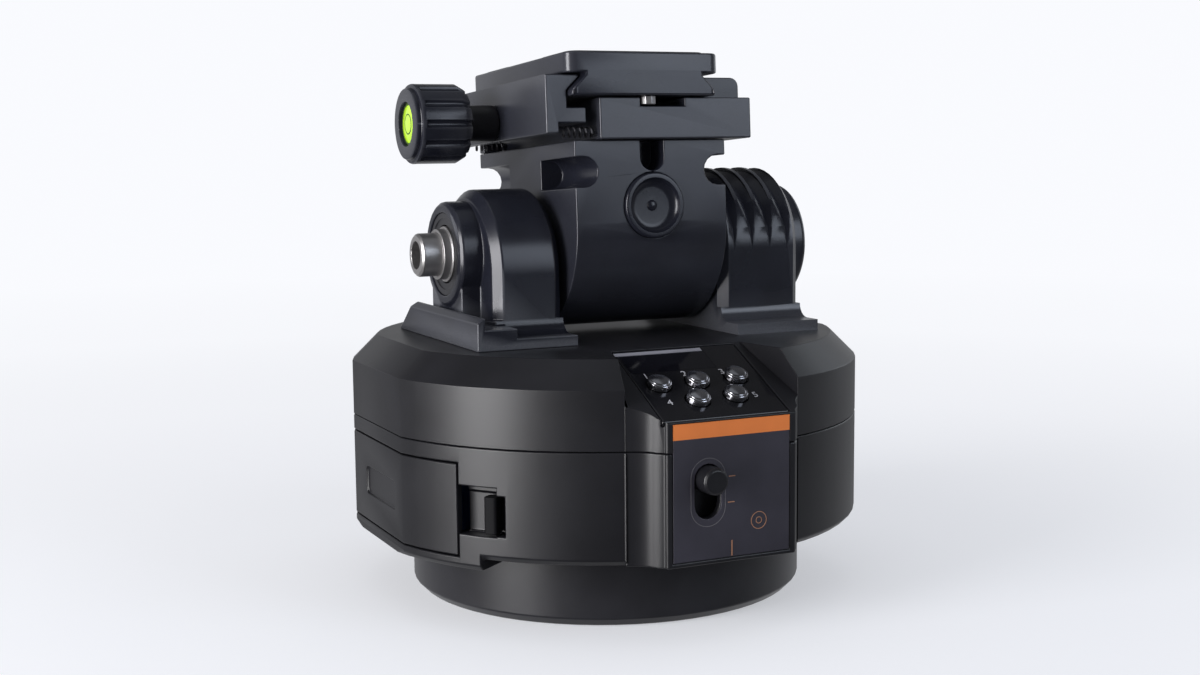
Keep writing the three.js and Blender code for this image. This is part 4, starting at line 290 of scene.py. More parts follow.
@dataclass(frozen=True)
class Finish:
    """A moulded, blasted or polished surface.

    Attributes:
        name: the material's name.
        slot: the record's slot that it stands for; not used.
        colour: its base colour.
        roughness: its mean roughness.
        metallic: how metallic it is.
        specular: how strongly it mirrors when it isn't metal.
        coat: the weight of a clear coat.
        grain: the size of its grain.
        grain_depth: the height of its grain.
        drift: how far the tone and the gloss wander over the surface.
        rubbed: how much paler rubbed edges are.
    """

    name: str
    slot: str
    colour: Colour
    roughness: float
    metallic: float = 0.0
    specular: float = 0.5
    coat: float = 0.0
    grain: float = 0.25 * MM
    grain_depth: float = 0.01 * MM
    drift: float = 0.15
    rubbed: float = 0.0

    def grain_point(self, graph: Graph) -> Socket:
        """The point that the grain is read at."""
        return graph.place()

    def build(self) -> bpy.types.Material:
        """Makes the material.

        Returns:
            The material, new.
        """
        material = bpy.data.materials.new(self.name)
        graph = Graph(material)
        grain = graph.noise(self.grain_point(graph), self.grain, 3.0, 0.6)
        cloud = graph.noise(graph.place(), CLOUD_SIZE, 3.0, 0.5)
        colour = graph.blend(
            graph.ramp(cloud, ((0.35, 0.0), (0.65, 1.0))),
            scaled(self.colour, 1.0 - self.drift),
            scaled(self.colour, 1.0 + self.drift),
        )
        gloss = self.roughness * (1.0 + self.drift * (cloud - 0.5))
        gloss = gloss + GRAIN_GLOSS * self.roughness * (grain - 0.5)
        if self.rubbed > 0.0:
            ridge = graph.add("ShaderNodeNewGeometry", {}, {}, "Pointiness")
            patchy = graph.ramp(grain, ((0.3, 0.5), (0.7, 1.0)))
            edge = graph.ramp(ridge, ((0.52, 0.0), (0.6, 1.0))) * patchy
            colour = graph.blend(edge * self.rubbed, colour, BARE_METAL)
        bump = graph.add(
            "ShaderNodeBump", {}, {"Strength": 1.0, "Distance": self.grain_depth, "Height": grain}
        )
        shader = graph.add(
            "ShaderNodeBsdfPrincipled",
            {},
            {
                "Base Color": colour,
                "Roughness": gloss,
                "Metallic": self.metallic,
                "Specular IOR Level": self.specular,
                "Coat Weight": self.coat,
                "Coat Roughness": COAT_ROUGHNESS,
                "Normal": bump,
            },
        )
        graph.add("ShaderNodeOutputMaterial", {}, {"Surface": shader})
        return material


@dataclass(frozen=True)
class DrawnFinish(Finish):
    """A surface whose marks run one way, such as turned, ground or ribbed ones.

    Attributes:
        stretch: how the marks are squeezed along x, y and z.
    """

    stretch: Point = (1.0, 1.0, 1.0)

    def grain_point(self, graph: Graph) -> Socket:
        """The point that the grain is read at."""
        return graph.stretched(graph.place(), self.stretch)


class Finishes:
    """Every finish of the head, made once and handed out by name."""

    HOUSING = Finish(
        "satin_housing", "housing_plastic", (0.0085, 0.0085, 0.0108), 0.38, grain=0.3 * MM
    )
    BASE = Finish("base_plastic", "housing_plastic", (0.018, 0.018, 0.0215), 0.34, grain=0.3 * MM)
    DECK = Finish(
        "polished_deck",
        "gloss_black",
        (0.006, 0.006, 0.0075),
        0.12,
        grain=0.6 * MM,
        grain_depth=0.001 * MM,
    )
    DISPLAY = Finish(
        "display_pane",
        "display_glass",
        (0.004, 0.004, 0.006),
        0.05,
        grain=2.0 * MM,
        grain_depth=0.0005 * MM,
    )
    METAL = Finish(
        "blasted_anodised_metal",
        "black_anodised",
        (0.0125, 0.0135, 0.0205),
        0.25,
        metallic=0.15,
        grain=0.16 * MM,
        grain_depth=0.006 * MM,
        rubbed=0.25,
    )
    TURNED_METAL = Finish(
        "turned_anodised_metal",
        "black_anodised",
        (0.0115, 0.0125, 0.019),
        0.25,
        metallic=0.15,
        grain=0.16 * MM,
        grain_depth=0.005 * MM,
    )
    STEEL = DrawnFinish(
        "ground_steel",
        "bright_steel",
        (0.5, 0.49, 0.49),
        0.42,
        metallic=1.0,
        grain=0.5 * MM,
        grain_depth=0.003 * MM,
        stretch=(6.0, 1.0, 1.0),
    )
    DARK_STEEL = DrawnFinish(
        "oiled_steel",
        "dark_steel",
        (0.24, 0.235, 0.23),
        0.32,
        metallic=1.0,
        grain=0.5 * MM,
        grain_depth=0.004 * MM,
        stretch=(5.0, 1.0, 1.0),
    )
    CHROME = Finish(
        "chromed_key",
        "chrome",
        (0.4, 0.4, 0.43),
        0.2,
        metallic=1.0,
        grain=0.8 * MM,
        grain_depth=0.0008 * MM,
    )
    # Near-black steel for the jaw springs, darkened so that they sink into the shade of the slot
    # between jaw and block: painted shade.
    SPRING = Finish(
        "blackened_spring",
        "dark_steel",
        (0.045, 0.045, 0.05),
        0.5,
        metallic=1.0,
        grain_depth=0.002 * MM,
    )
    LATCH = Finish(
        "dark_latch", "housing_plastic", (0.005, 0.005, 0.006), 0.6, specular=0.12, grain=0.3 * MM
    )
    BEARING = Finish(
        "shielded_race", "bright_steel", (0.09, 0.09, 0.1), 0.36, metallic=0.9, grain_depth=0.003 * MM
    )
    FAINT_PRINT = Finish(
        "faint_print", "slate_label", (0.1, 0.095, 0.105), 0.5, grain=0.2 * MM, grain_depth=0.003 * MM
    )
    # Pale grey for the strip along the deck's upper edge: a painted highlight, not a printed bezel.
    BEZEL = Finish(
        "bezel_line", "slate_label", (0.2, 0.2, 0.23), 0.4, grain=0.3 * MM, grain_depth=0.003 * MM
    )
    BRASS = DrawnFinish(
        "turned_brass",
        "brass",
        (0.62, 0.44, 0.19),
        0.28,
        metallic=1.0,
        grain=0.5 * MM,
        grain_depth=0.004 * MM,
        stretch=(1.0, 1.0, 7.0),
    )
    RUBBER = DrawnFinish(
        "ribbed_rubber",
        "rubber",
        (0.018, 0.018, 0.018),
        0.72,
        specular=0.35,
        grain=1.2 * MM,
        grain_depth=0.08 * MM,
        stretch=(0.05, 1.0, 1.0),
    )
    BOARD = Finish(
        "solder_mask", "circuit_board", (0.03, 0.17, 0.06), 0.38, grain=0.9 * MM, grain_depth=0.02 * MM
    )
    LABEL = Finish(
        "slate_film", "slate_label", (0.034, 0.032, 0.044), 0.42, grain=0.2 * MM, grain_depth=0.005 * MM
    )
    STRIPE = DrawnFinish(
        "orange_film",
        "orange_label",
        (0.72, 0.2, 0.045),
        0.36,
        grain=0.4 * MM,
        grain_depth=0.006 * MM,
        drift=0.08,
        stretch=(0.08, 1.0, 3.0),
    )
    PRINT = Finish(
        "copper_print", "orange_label", (0.33, 0.16, 0.09), 0.5, grain=0.2 * MM, grain_depth=0.003 * MM
    )
    PALE_PRINT = Finish(
        "pale_print", "slate_label", (0.42, 0.42, 0.45), 0.5, grain=0.2 * MM, grain_depth=0.003 * MM
    )
    VIAL = Finish(
        "level_liquid",
        "level_vial",
        (0.5, 0.82, 0.03),
        0.12,
        coat=0.6,
        grain=0.9 * MM,
        grain_depth=0.003 * MM,
    )
    LEVEL_MARK = Finish("level_mark", "level_vial", (0.05, 0.09, 0.02), 0.4, grain_depth=0.002 * MM)
    WRAP = Finish(
        "shrink_film", "battery_wrap", (0.04, 0.08, 0.22), 0.3, grain=2.5 * MM, grain_depth=0.05 * MM
    )

    def __init__(self) -> None:
        """Starts with no material made."""
        self.made: dict[str, bpy.types.Material] = {}

    def material(self, finish: Finish) -> bpy.types.Material:
        """Hands out the finish's material, made at first use.

        Args:
            finish: the finish.

        Returns:
            Its material.
        """
        if finish.name not in self.made:
            self.made[finish.name] = finish.build()
        return self.made[finish.name]


@dataclass
class Assembly:
    """What every sub-assembly shares: the frame, the finishes, and how a piece is made and hung.

    Attributes:
        finishes: the shelf of finishes.
        pieces: what has been built so far.
    """

    frame: dict[str, Any]
    finishes: Finishes
    pieces: list[bpy.types.Object] = field(default_factory=list)

    def body_of(self, node: str) -> str:
        """The body that a node rides on."""
        return self.frame["nodes"][node]["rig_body"]

    def hang(self, piece: bpy.types.Object, finish: Finish, body: str) -> bpy.types.Object:
        """Dresses a piece and hangs it on its body.

        Args:
            piece: the object to hang.
            finish: its finish.
            body: the body that it rides on.

        Returns:
            The same object.
        """
        piece.data.materials.clear()
        piece.data.materials.append(self.finishes.material(finish))
        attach(piece, body)
        self.pieces.append(piece)
        return piece

    def kept(self, node: str, finish: Finish) -> None:
        """Keeps a solid as it is and gives it a finish.

        Args:
            node: the solid's name.
            finish: its finish.
        """
        piece = self.frame["nodes"][node]
        for slot in piece.material_slots:
            slot.material = self.finishes.material(finish)
        self.pieces.append(piece)

    def rounded(self, node: str, finish: Finish, edge: float = METAL_EDGE) -> bpy.types.Object:
        """Makes a solid again with rounded edges and smooth turned faces.

        Args:
            node: the solid's name.
            finish: its finish.
            edge: the width of the rounded edges.

        Returns:
            The new piece, which replaces the solid.
        """
        source = self.frame["nodes"][node]
        piece = joined_up_copy(source, f"{node}_rounded")
        round_edges(piece, edge)
        return self.stand_in(piece, finish, node)

    def stand_in(self, piece: bpy.types.Object, finish: Finish, node: str) -> bpy.types.Object:
        """Dresses a piece and hangs it in the place of a solid.

        Args:
            piece: the piece.
            finish: its finish.
            node: the solid that it replaces.

        Returns:
            The same piece.
        """
        self.hang(piece, finish, self.body_of(node))
        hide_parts(node)
        return piece

    def made_new(
        self, name: str, shape: bmesh.types.BMesh, finish: Finish, node: str
    ) -> bpy.types.Object:
        """Turns a finished shape into a piece that replaces a solid.

        Args:
            name: the piece's name.
            shape: the shape, which is used up.
            finish: its finish.
            node: the solid that it replaces.

        Returns:
            The new piece.
        """
        return self.stand_in(mesh_piece(name, shape), finish, node)

    def added(self, name: str, shape: bmesh.types.BMesh, finish: Finish, node: str) -> bpy.types.Object:
        """Turns a finished shape into a piece that rides with a solid and leaves it showing.

        Args:
            name: the piece's name.
            shape: the shape, which is used up.
            finish: its finish.
            node: the solid that it lies on.

        Returns:
            The new piece.
        """
        return self.hang(mesh_piece(name, shape), finish, self.body_of(node))

    def build(self) -> list[bpy.types.Object]:
        """Builds and dresses every piece of the sub-assembly."""
        raise NotImplementedError


def in_scene(name: str, data: bpy.types.ID) -> bpy.types.Object:
    """Puts some data in the scene.

    Args:
        name: the new object's name.
        data: its mesh, curve, light or camera.

    Returns:
        The object.
    """
    thing = bpy.data.objects.new(name, data)
    bpy.context.scene.collection.objects.link(thing)
    return thing


def mesh_of(name: str, shape: bmesh.types.BMesh) -> bpy.types.Mesh:
    """Makes a mesh of a shape.

    Args:
        name: the mesh's name.
        shape: the shape, which is freed.

    Returns:
        The mesh.
    """
    mesh = bpy.data.meshes.new(name)
    shape.to_mesh(mesh)
    shape.free()
    return mesh


def mesh_piece(name: str, shape: bmesh.types.BMesh) -> bpy.types.Object:
    """Makes an object of a shape, smooth across all but its sharp edges.

    Args:
        name: the object's name.
        shape: the shape, which is freed.

    Returns:
        The object, in the scene.
    """
    bmesh.ops.recalc_face_normals(shape, faces=shape.faces)
    piece = in_scene(name, mesh_of(name, shape))
    smooth(piece)
    return piece


def smooth(piece: bpy.types.Object, angle: float = 40.0) -> None:
    """Shades a mesh smooth, with its sharp edges kept and its large faces left flat.

    Args:
        piece: the object.
        angle: the angle in degrees above which an edge stays sharp.
    """
    piece.data.shade_smooth()
    piece.data.set_sharp_from_angle(angle=math.radians(angle))
    weighted = piece.modifiers.new("even_shading", "WEIGHTED_NORMAL")
    weighted.keep_sharp = True
    weighted.weight = 50


def joined_up_copy(source: bpy.types.Object, name: str) -> bpy.types.Object:
    """Copies a solid with its split points joined and its flat faces whole.

    Args:
        source: the solid's object.
        name: the copy's name.

    Returns:
        The copy, in the scene.
    """
    shape = bmesh.new()
    shape.from_mesh(source.data)
    bmesh.ops.remove_doubles(shape, verts=shape.verts, dist=0.002 * MM)
    bmesh.ops.dissolve_limit(
        shape,
        angle_limit=math.radians(0.35),
        verts=shape.verts,
        edges=shape.edges,
        use_dissolve_boundaries=False,
    )
    mesh = mesh_of(name, shape)
    if "custom_normal" in mesh.attributes:
        mesh.attributes.remove(mesh.attributes["custom_normal"])
    return in_scene(name, mesh)


def round_edges(piece: bpy.types.Object, width: float) -> None:
    """Rounds a mesh's sharp edges and settles the result into the mesh.

    Args:
        piece: the object.
        width: the width of the rounding, or SHARP for none.
    """
    if width <= 0.0:
        smooth(piece, 44.0)
        return
    piece.data.shade_smooth()
    bevel = piece.modifiers.new("rounding", "BEVEL")
    bevel.width = width
    bevel.segments = 3
    bevel.limit_method = "ANGLE"
    bevel.angle_limit = math.radians(28.0)
    bevel.use_clamp_overlap = False
    bevel.harden_normals = True
    settle(piece)


def mesh_as_shown(thing: bpy.types.Object) -> bpy.types.Mesh:
    """A new mesh of what an object and its modifiers give."""
    return bpy.data.meshes.new_from_object(thing.evaluated_get(bpy.context.evaluated_depsgraph_get()))


def settle(piece: bpy.types.Object) -> None:
    """Makes what the modifiers give the piece's own mesh.

    Args:
        piece: the object.
    """
    rough = piece.data
    settled = mesh_as_shown(piece)
    piece.modifiers.clear()
    settled.name = rough.name
    piece.data = settled
    bpy.data.meshes.remove(rough)


def cut_away(piece: bpy.types.Object, tools: Sequence[bmesh.types.BMesh]) -> None:
    """Cuts shapes out of a piece.

    Args:
        piece: the object.
        tools: the closed shapes to cut out, which are used up.
    """
    for number, shape in enumerate(tools):
        tool = mesh_piece(f"{piece.name}_tool_{number}", shape)
        tool.modifiers.clear()
        boolean = piece.modifiers.new("cut", "BOOLEAN")
        boolean.operation = "DIFFERENCE"
        boolean.solver = "EXACT"
        boolean.object = tool
        settle(piece)
        leftover = tool.data
        bpy.data.objects.remove(tool)
        bpy.data.meshes.remove(leftover)
    smooth(piece)


def block(low: Point, high: Point) -> bmesh.types.BMesh:
    """A block between two corners.

    Args:
        low: its lowest corner.
        high: its highest corner.

    Returns:
        The shape.
    """
    shape = bmesh.new()
    bmesh.ops.create_cube(shape, size=1.0)
    middle = (Vector(low) + Vector(high)) / 2.0
    size = Vector(high) - Vector(low)
    shape.transform(Matrix.Translation(middle) @ Matrix.Diagonal(size).to_4x4())
    return shape


def rounded_block(low: Point, high: Point, edge: float) -> bmesh.types.BMesh:
    """A block with rounded edges.

    Args:
        low: its lowest corner.
        high: its highest corner.
        edge: the width of the rounding.

    Returns:
        The shape.
    """
    shape = block(low, high)
    bmesh.ops.bevel(shape, geom=shape.edges[:], offset=edge, segments=3, profile=0.5, affect="EDGES")
    return shape


def ring_point(axis: Axis, along: float, radius: float, angle: float, centre: Point) -> Vector:
    """A point on a ring about an axis.

    Args:
        axis: the axis.
        along: the place along it.
        radius: the ring's radius.
        angle: the angle round it, in radians.
        centre: a point that the axis passes through.

    Returns:
        The point.
    """
    first = radius * math.cos(angle)
    second = radius * math.sin(angle)
    offset = {
        Axis.X: (0.0, first, second),
        Axis.Y: (second, 0.0, first),
        Axis.Z: (first, second, 0.0),
    }[axis]
    point = Vector(centre) + Vector(offset)
    point[axis.value] = along
    return point


def turned(
    profile: Pairs,
    axis: Axis,
    centre: Point,
    sides: int = 96,
    waist: Callable[[float, float], float] | None = None,
) -> bmesh.types.BMesh:
    """Turns a profile about an axis.

    Args:
        profile: pairs of radius and place along the axis, from one end to the other. A ring's
            profile ends at the point where it starts.
        axis: the axis.
        centre: a point that the axis passes through.
        sides: how many sides the turned faces have.
        waist: how much is taken off the radius at an angle and a place along the axis.

    Returns:
        The shape, closed.
    """
    shape = bmesh.new()
    closed = profile[0] == profile[-1]
    rings: list[list[bmesh.types.BMVert]] = []
    for radius, along in profile:
        if radius < POLE_RADIUS:
            rings.append([shape.verts.new(ring_point(axis, along, 0.0, 0.0, centre))])
            continue
        ring = []
        for side in range(sides):
            angle = 2.0 * math.pi * side / sides
            taken = waist(angle, along) if waist else 0.0
            ring.append(shape.verts.new(ring_point(axis, along, radius - taken, angle, centre)))
        rings.append(ring)
    for lower, upper in zip(rings, rings[1:], strict=False):
        for side in range(sides):
            following = (side + 1) % sides
            corners = [
                lower[side % len(lower)],
                lower[following % len(lower)],
                upper[following % len(upper)],
                upper[side % len(upper)],
            ]
            unique = list(dict.fromkeys(corners))
            if len(unique) > 2:
                shape.faces.new(unique)
    if closed:
        bmesh.ops.remove_doubles(shape, verts=shape.verts, dist=0.0001 * MM)
        return shape
    for end in (rings[0], rings[-1]):
        if len(end) > 2:
            shape.faces.new(end)
    return shape


def softened(profile: Pairs, radius: float, steps: int = 3) -> list[tuple[float, float]]:
    """Rounds the inner corners of a profile.

    Args:
        profile: its points, the first and last of which stay.
        radius: how far from a corner its rounding starts.
        steps: how many points replace a corner.

    Returns:
        The rounded profile.
    """
    soft = [profile[0]]
    for before, corner, after in zip(profile, profile[1:], profile[2:], strict=False):
        point = Vector(corner)
        start, end = (
            point.lerp(Vector(side), min(0.45, radius / max((Vector(side) - point).length, 1e-9)))
            for side in (before, after)
        )
        for step in range(steps + 1):
            share = step / steps
            soft.append(tuple(start.lerp(point, share).lerp(point.lerp(end, share), share)))
    soft.append(profile[-1])
    return soft


def quarter_arc(
    middle: tuple[float, float], reach: tuple[float, float], steps: int, first: int = 0
) -> list[tuple[float, float]]:
    """Pairs points along a quarter of an ellipse, from its widest radius to its far end.

    Args:
        middle: the ellipse's middle, as a radius and a place along the axis.
        reach: how far it reaches from there, in radius and along the axis.
        steps: how many steps the quarter has.
        first: the step to start at.

    Returns:
        The points.
    """
    angles = [0.5 * math.pi * step / steps for step in range(first, steps + 1)]
    return [
        (middle[0] + reach[0] * math.cos(angle), middle[1] + reach[1] * math.sin(angle))
        for angle in angles
    ]


def tilted_place() -> Matrix:
    """The tilting group's place: its axis is the tilt axis, and it leans back a little."""
    lean = Matrix.Rotation(math.radians(TILT_AT_REST_DEG), 4, "X")
    return Matrix.Translation((0.0, 0.0, TILT_AXIS_Z)) @ lean


@dataclass
class Turntable(Assembly):
    """The base that stays on the tripod, with the pan bearing and its gear."""

    def build(self) -> list[bpy.types.Object]:
        """Builds and dresses the turntable."""
        self.rounded("base_disc", Finishes.BASE, CASE_EDGE)
        self.rounded("tripod_bush", Finishes.BRASS, FINE_EDGE)
        self.rounded("thread_reducer", Finishes.STEEL, FINE_EDGE)
        self.kept("pan_ring_gear", Finishes.DARK_STEEL)
        self.kept("pan_bearing_inner_race", Finishes.STEEL)
        self.kept("pan_retainer_ring", Finishes.DARK_STEEL)
        self.kept("pan_bearing_cage", Finishes.BRASS)
        return self.pieces


@dataclass
class Drum(Assembly):
    """The turning drum: its two shells and what they hold.

    Attributes:
        upper_edge: the upper shell's rounding, kept narrow where its facets meet at small angles.
    """

    upper_edge: float = 0.12 * MM

    def build(self) -> list[bpy.types.Object]:
        """Builds and dresses the drum."""
        self.rounded("lower_housing", Finishes.HOUSING, CASE_EDGE)
        self.rounded("upper_housing", Finishes.HOUSING, self.upper_edge)
        self.kept("pan_bearing_outer_race", Finishes.STEEL)
        self.kept("pan_motor", Finishes.DARK_STEEL)
        self.kept("pan_pinion", Finishes.BRASS)
        self.kept("main_board", Finishes.BOARD)
        return self.pieces


@dataclass
class BatteryBay(Assembly):
    """The battery, its hinged door and the door's sliding latch."""

    def build(self) -> list[bpy.types.Object]:
        """Builds and dresses the battery bay."""
        self.kept("battery_pack", Finishes.WRAP)
        self.rounded("battery_door", Finishes.HOUSING, CASE_EDGE)
        self.rounded("door_latch", Finishes.LATCH, TRIM_EDGE)
        return self.pieces


@dataclass
class ControlBox(Assembly):
    """The control box's labelled front, its sloping deck, and the keys and marks on them.

    Attributes:
        front_y: the front face's place.
        slope_foot_z: the height of the slope's front edge.
        slope_deg: the slope's angle.
        mark_height: how far a printed mark stands proud.
        numeral_size: the height of a printed numeral.
        key_radius: a key's radius.
        key_proud: how far a key's dome stands out of the deck.
        key_dome: the height of the dome on it.
        key_stem: a key's stem, as its radius and its depth under the deck.
        key_skirt: how far a key's side reaches under the deck.
        well_radius: the radius of the hole that a key sits in.
        deck_span: the deck's lowest and highest corners on the slope.
        deck_edge: the deck's rounding.
        display_span: the corners of the pocket for the display.
        bezel_span: the corners of the thin pale line over the display, a painted highlight along the
            deck's upper edge.
        keys: each key's place, across the slope and up it.
        numeral_places: the places of the numerals 1 to 5.
        ring_place: the middle of the printed rings, across and up the front.
        ring_radii: the outer radius of each printed ring.
        rim_line: the switch's printed rim: its middle across, and its two ends' heights.
        rim_radius: the rim's radius at its ends.
        rim_width: the width of the rim and of the rings.
        rim_sides: how many sides the rim's two ends have together.
        front_ticks: each tick's left, right, bottom and top.
    """

    front_y: float = -62.05 * MM
    slope_foot_z: float = 47.6 * MM
    slope_deg: float = 26.24
    mark_height: float = 0.04 * MM
    numeral_size: float = 2.6 * MM
    key_radius: float = 2.6 * MM
    key_proud: float = 1.9 * MM
    key_dome: float = 0.6 * MM
    key_stem: tuple[float, float] = (1.2 * MM, -3.0 * MM)
    key_skirt: float = -0.3 * MM
    well_radius: float = 2.9 * MM
    deck_span: tuple[Point, Point] = (
        (-15.9 * MM, 0.7 * MM, -1.2 * MM),
        (14.3 * MM, 27.2 * MM, 0.0),
    )
    deck_edge: float = 0.45 * MM
    display_span: tuple[Point, Point] = (
        (-15.1 * MM, 18.5 * MM, -0.8 * MM),
        (5.6 * MM, 25.7 * MM, 1.0 * MM),
    )
    bezel_span: tuple[Point, Point] = (
        (-16.0 * MM, 25.2 * MM, 0.0),
        (5.2 * MM, 26.3 * MM, 0.12 * MM),
    )
    keys: dict[str, tuple[float, float]] = field(
        default_factory=lambda: {
            "rear_left": (-10.9 * MM, 13.5 * MM),
            "rear_centre": (-1.6 * MM, 13.8 * MM),
            "rear_right": (8.2 * MM, 14.4 * MM),
            "front_centre": (-4.6 * MM, 7.3 * MM),
            "front_right": (4.7 * MM, 7.7 * MM),
        }
    )
    numeral_places: tuple[tuple[float, float], ...] = (
        (-12.3 * MM, 17.1 * MM),
        (-3.1 * MM, 17.1 * MM),
        (6.0 * MM, 16.8 * MM),
        (-11.2 * MM, 7.2 * MM),
        (9.4 * MM, 7.4 * MM),
    )
    ring_place: tuple[float, float] = (6.4 * MM, 25.3 * MM)
    ring_radii: tuple[tuple[str, float], ...] = (("outer", 1.9 * MM), ("inner", 0.75 * MM))
    rim_line: tuple[float, float, float] = (-5.75 * MM, 29.3 * MM, 35.6 * MM)
    rim_radius: float = 4.15 * MM
    rim_width: float = 0.16 * MM
    rim_sides: int = 48
    front_ticks: tuple[tuple[float, float, float, float], ...] = (
        (-0.9 * MM, 0.7 * MM, 35.3 * MM, 35.5 * MM),
        (-1.1 * MM, 0.5 * MM, 29.8 * MM, 30.0 * MM),
        (-0.25 * MM, 0.05 * MM, 18.4 * MM, 21.7 * MM),
    )

    def build(self) -> list[bpy.types.Object]:
        """Builds and dresses the control box."""
        self.rounded("front_panel", Finishes.LABEL, FILM_EDGE)
        self.rounded("accent_stripe", Finishes.STRIPE, SHARP)
        self.rounded("mode_switch_knob", Finishes.HOUSING, TRIM_EDGE)
        self.kept("mode_switch_body", Finishes.HOUSING)
        self.rounded("display_window", Finishes.DISPLAY, SHARP)
        self.kept("control_board", Finishes.BOARD)
        self.build_deck()
        for name, place in self.keys.items():
            self.build_key(name, place)
        self.print_deck_marks()
        self.print_front_marks()
        return self.pieces

    def on_slope(self) -> Matrix:
        """The place of the slope: x across it, y up it, z out of it."""
        foot = Matrix.Translation((0.0, self.front_y, self.slope_foot_z))
        return foot @ Matrix.Rotation(math.radians(self.slope_deg), 4, "X")

    def build_deck(self) -> None:
        """The polished plate, with a well for each key and a pocket for the display."""
        plate = mesh_piece("control_deck_polished", rounded_block(*self.deck_span, self.deck_edge))
        under = self.deck_span[0][2] - MM
        well = ((0.0, under), (self.well_radius, under), (self.well_radius, MM), (0.0, MM))
        tools = [block(*self.display_span)]
        tools += [turned(well, Axis.Z, (*place, 0.0)) for place in self.keys.values()]
        cut_away(plate, tools)
        plate.data.transform(self.on_slope())
        self.stand_in(plate, Finishes.DECK, "control_deck")

    def build_key(self, name: str, place: tuple[float, float]) -> None:
        """One domed key with a narrow rim.

        Args:
            name: the key's name.
            place: its place across the slope and up it.
        """
        radius = self.key_radius
        stem, bottom = self.key_stem
        shoulder = self.key_proud - self.key_dome
        lip = 0.12 * MM
        profile = [
            (0.0, bottom),
            (stem, bottom),
            (stem, self.key_skirt),
            (radius, self.key_skirt),
            (radius, shoulder - 0.2 * MM),
            (radius - 0.1 * MM, shoulder),
            (radius - 0.3 * MM, shoulder + 0.1 * MM),
            *quarter_arc((0.0, shoulder + lip), (radius - 0.45 * MM, self.key_dome - lip), 8),
        ]
        shape = turned(profile, Axis.Z, (*place, 0.0), 64)
        shape.transform(self.on_slope())
        self.made_new(f"{name}_domed", shape, Finishes.CHROME, f"button_{name}")

    def print_deck_marks(self) -> None:
        """A plain numeral beside each key, and a thin pale line along the deck's upper edge, which is a
        painted highlight.
        """
        for number, (across, up) in enumerate(self.numeral_places, start=1):
            curve = bpy.data.curves.new(f"key_numeral_{number}_text", "FONT")
            curve.body = str(number)
            curve.size = self.numeral_size
            curve.align_x = "CENTER"
            curve.align_y = "CENTER"
            curve.extrude = self.mark_height / 2.0
            text = in_scene(curve.name, curve)
            mesh = mesh_as_shown(text)
            bpy.data.objects.remove(text)
            mesh.transform(self.on_slope() @ Matrix.Translation((across, up, 0.0)))
            mark = in_scene(f"key_numeral_{number}", mesh)
            self.hang(mark, Finishes.PALE_PRINT, self.body_of("control_deck"))
        # Painted highlight: a pale strip laid along the deck's upper edge, in place of the light that
        # this edge catches.
        line = block(*self.bezel_span)
        line.transform(self.on_slope())
        self.added("display_bezel_line", line, Finishes.BEZEL, "control_deck")

    def print_front_marks(self) -> None:
        """The switch's printed rim, its ticks, the ring and the index line on the front label."""
        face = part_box("front_panel")[0][1]
        proud = face - self.mark_height
        heel = face + self.mark_height
        for number, (left, right, low, high) in enumerate(self.front_ticks, start=1):
            tick = block((left, proud, low), (right, heel, high))
            self.added(f"front_tick_{number}", tick, Finishes.PRINT, "front_panel")
        rim = self.stadium_rim(proud, heel)
        self.added("switch_printed_rim", rim, Finishes.FAINT_PRINT, "front_panel")
        across, level = self.ring_place
        for name, radius in self.ring_radii:
            inner = radius - self.rim_width
            profile = ((inner, heel), (inner, proud), (radius, proud), (radius, heel), (inner, heel))
            ring = turned(profile, Axis.Y, (across, 0.0, level), 64)
            self.added(f"front_ring_{name}", ring, Finishes.PRINT, "front_panel")

    def stadium_rim(self, proud: float, heel: float) -> bmesh.types.BMesh:
        """The narrow printed outline round the switch's slot.

        Args:
            proud: the front of the print.
            heel: the back of the print.

        Returns:
            The shape.
        """
        middle, low, high = self.rim_line
        shape = bmesh.new()
        loops = []
        for radius in (self.rim_radius, self.rim_radius - self.rim_width):
            for depth in (proud, heel):
                loop = []
                for step in range(self.rim_sides):
                    angle = 2.0 * math.pi * (step + 0.5) / self.rim_sides
                    level = high if math.sin(angle) > 0.0 else low
                    place = (middle + radius * math.cos(angle), depth, level + radius * math.sin(angle))
                    loop.append(shape.verts.new(place))
                loops.append(loop)
        outer_front, outer_back, inner_front, inner_back = loops
        for first, second in (
            (outer_front, inner_front),
            (inner_front, inner_back),
            (inner_back, outer_back),
            (outer_back, outer_front),
        ):
            for step in range(self.rim_sides):
                after = (step + 1) % self.rim_sides
                shape.faces.new((first[step], first[after], second[after], second[step]))
        return shape


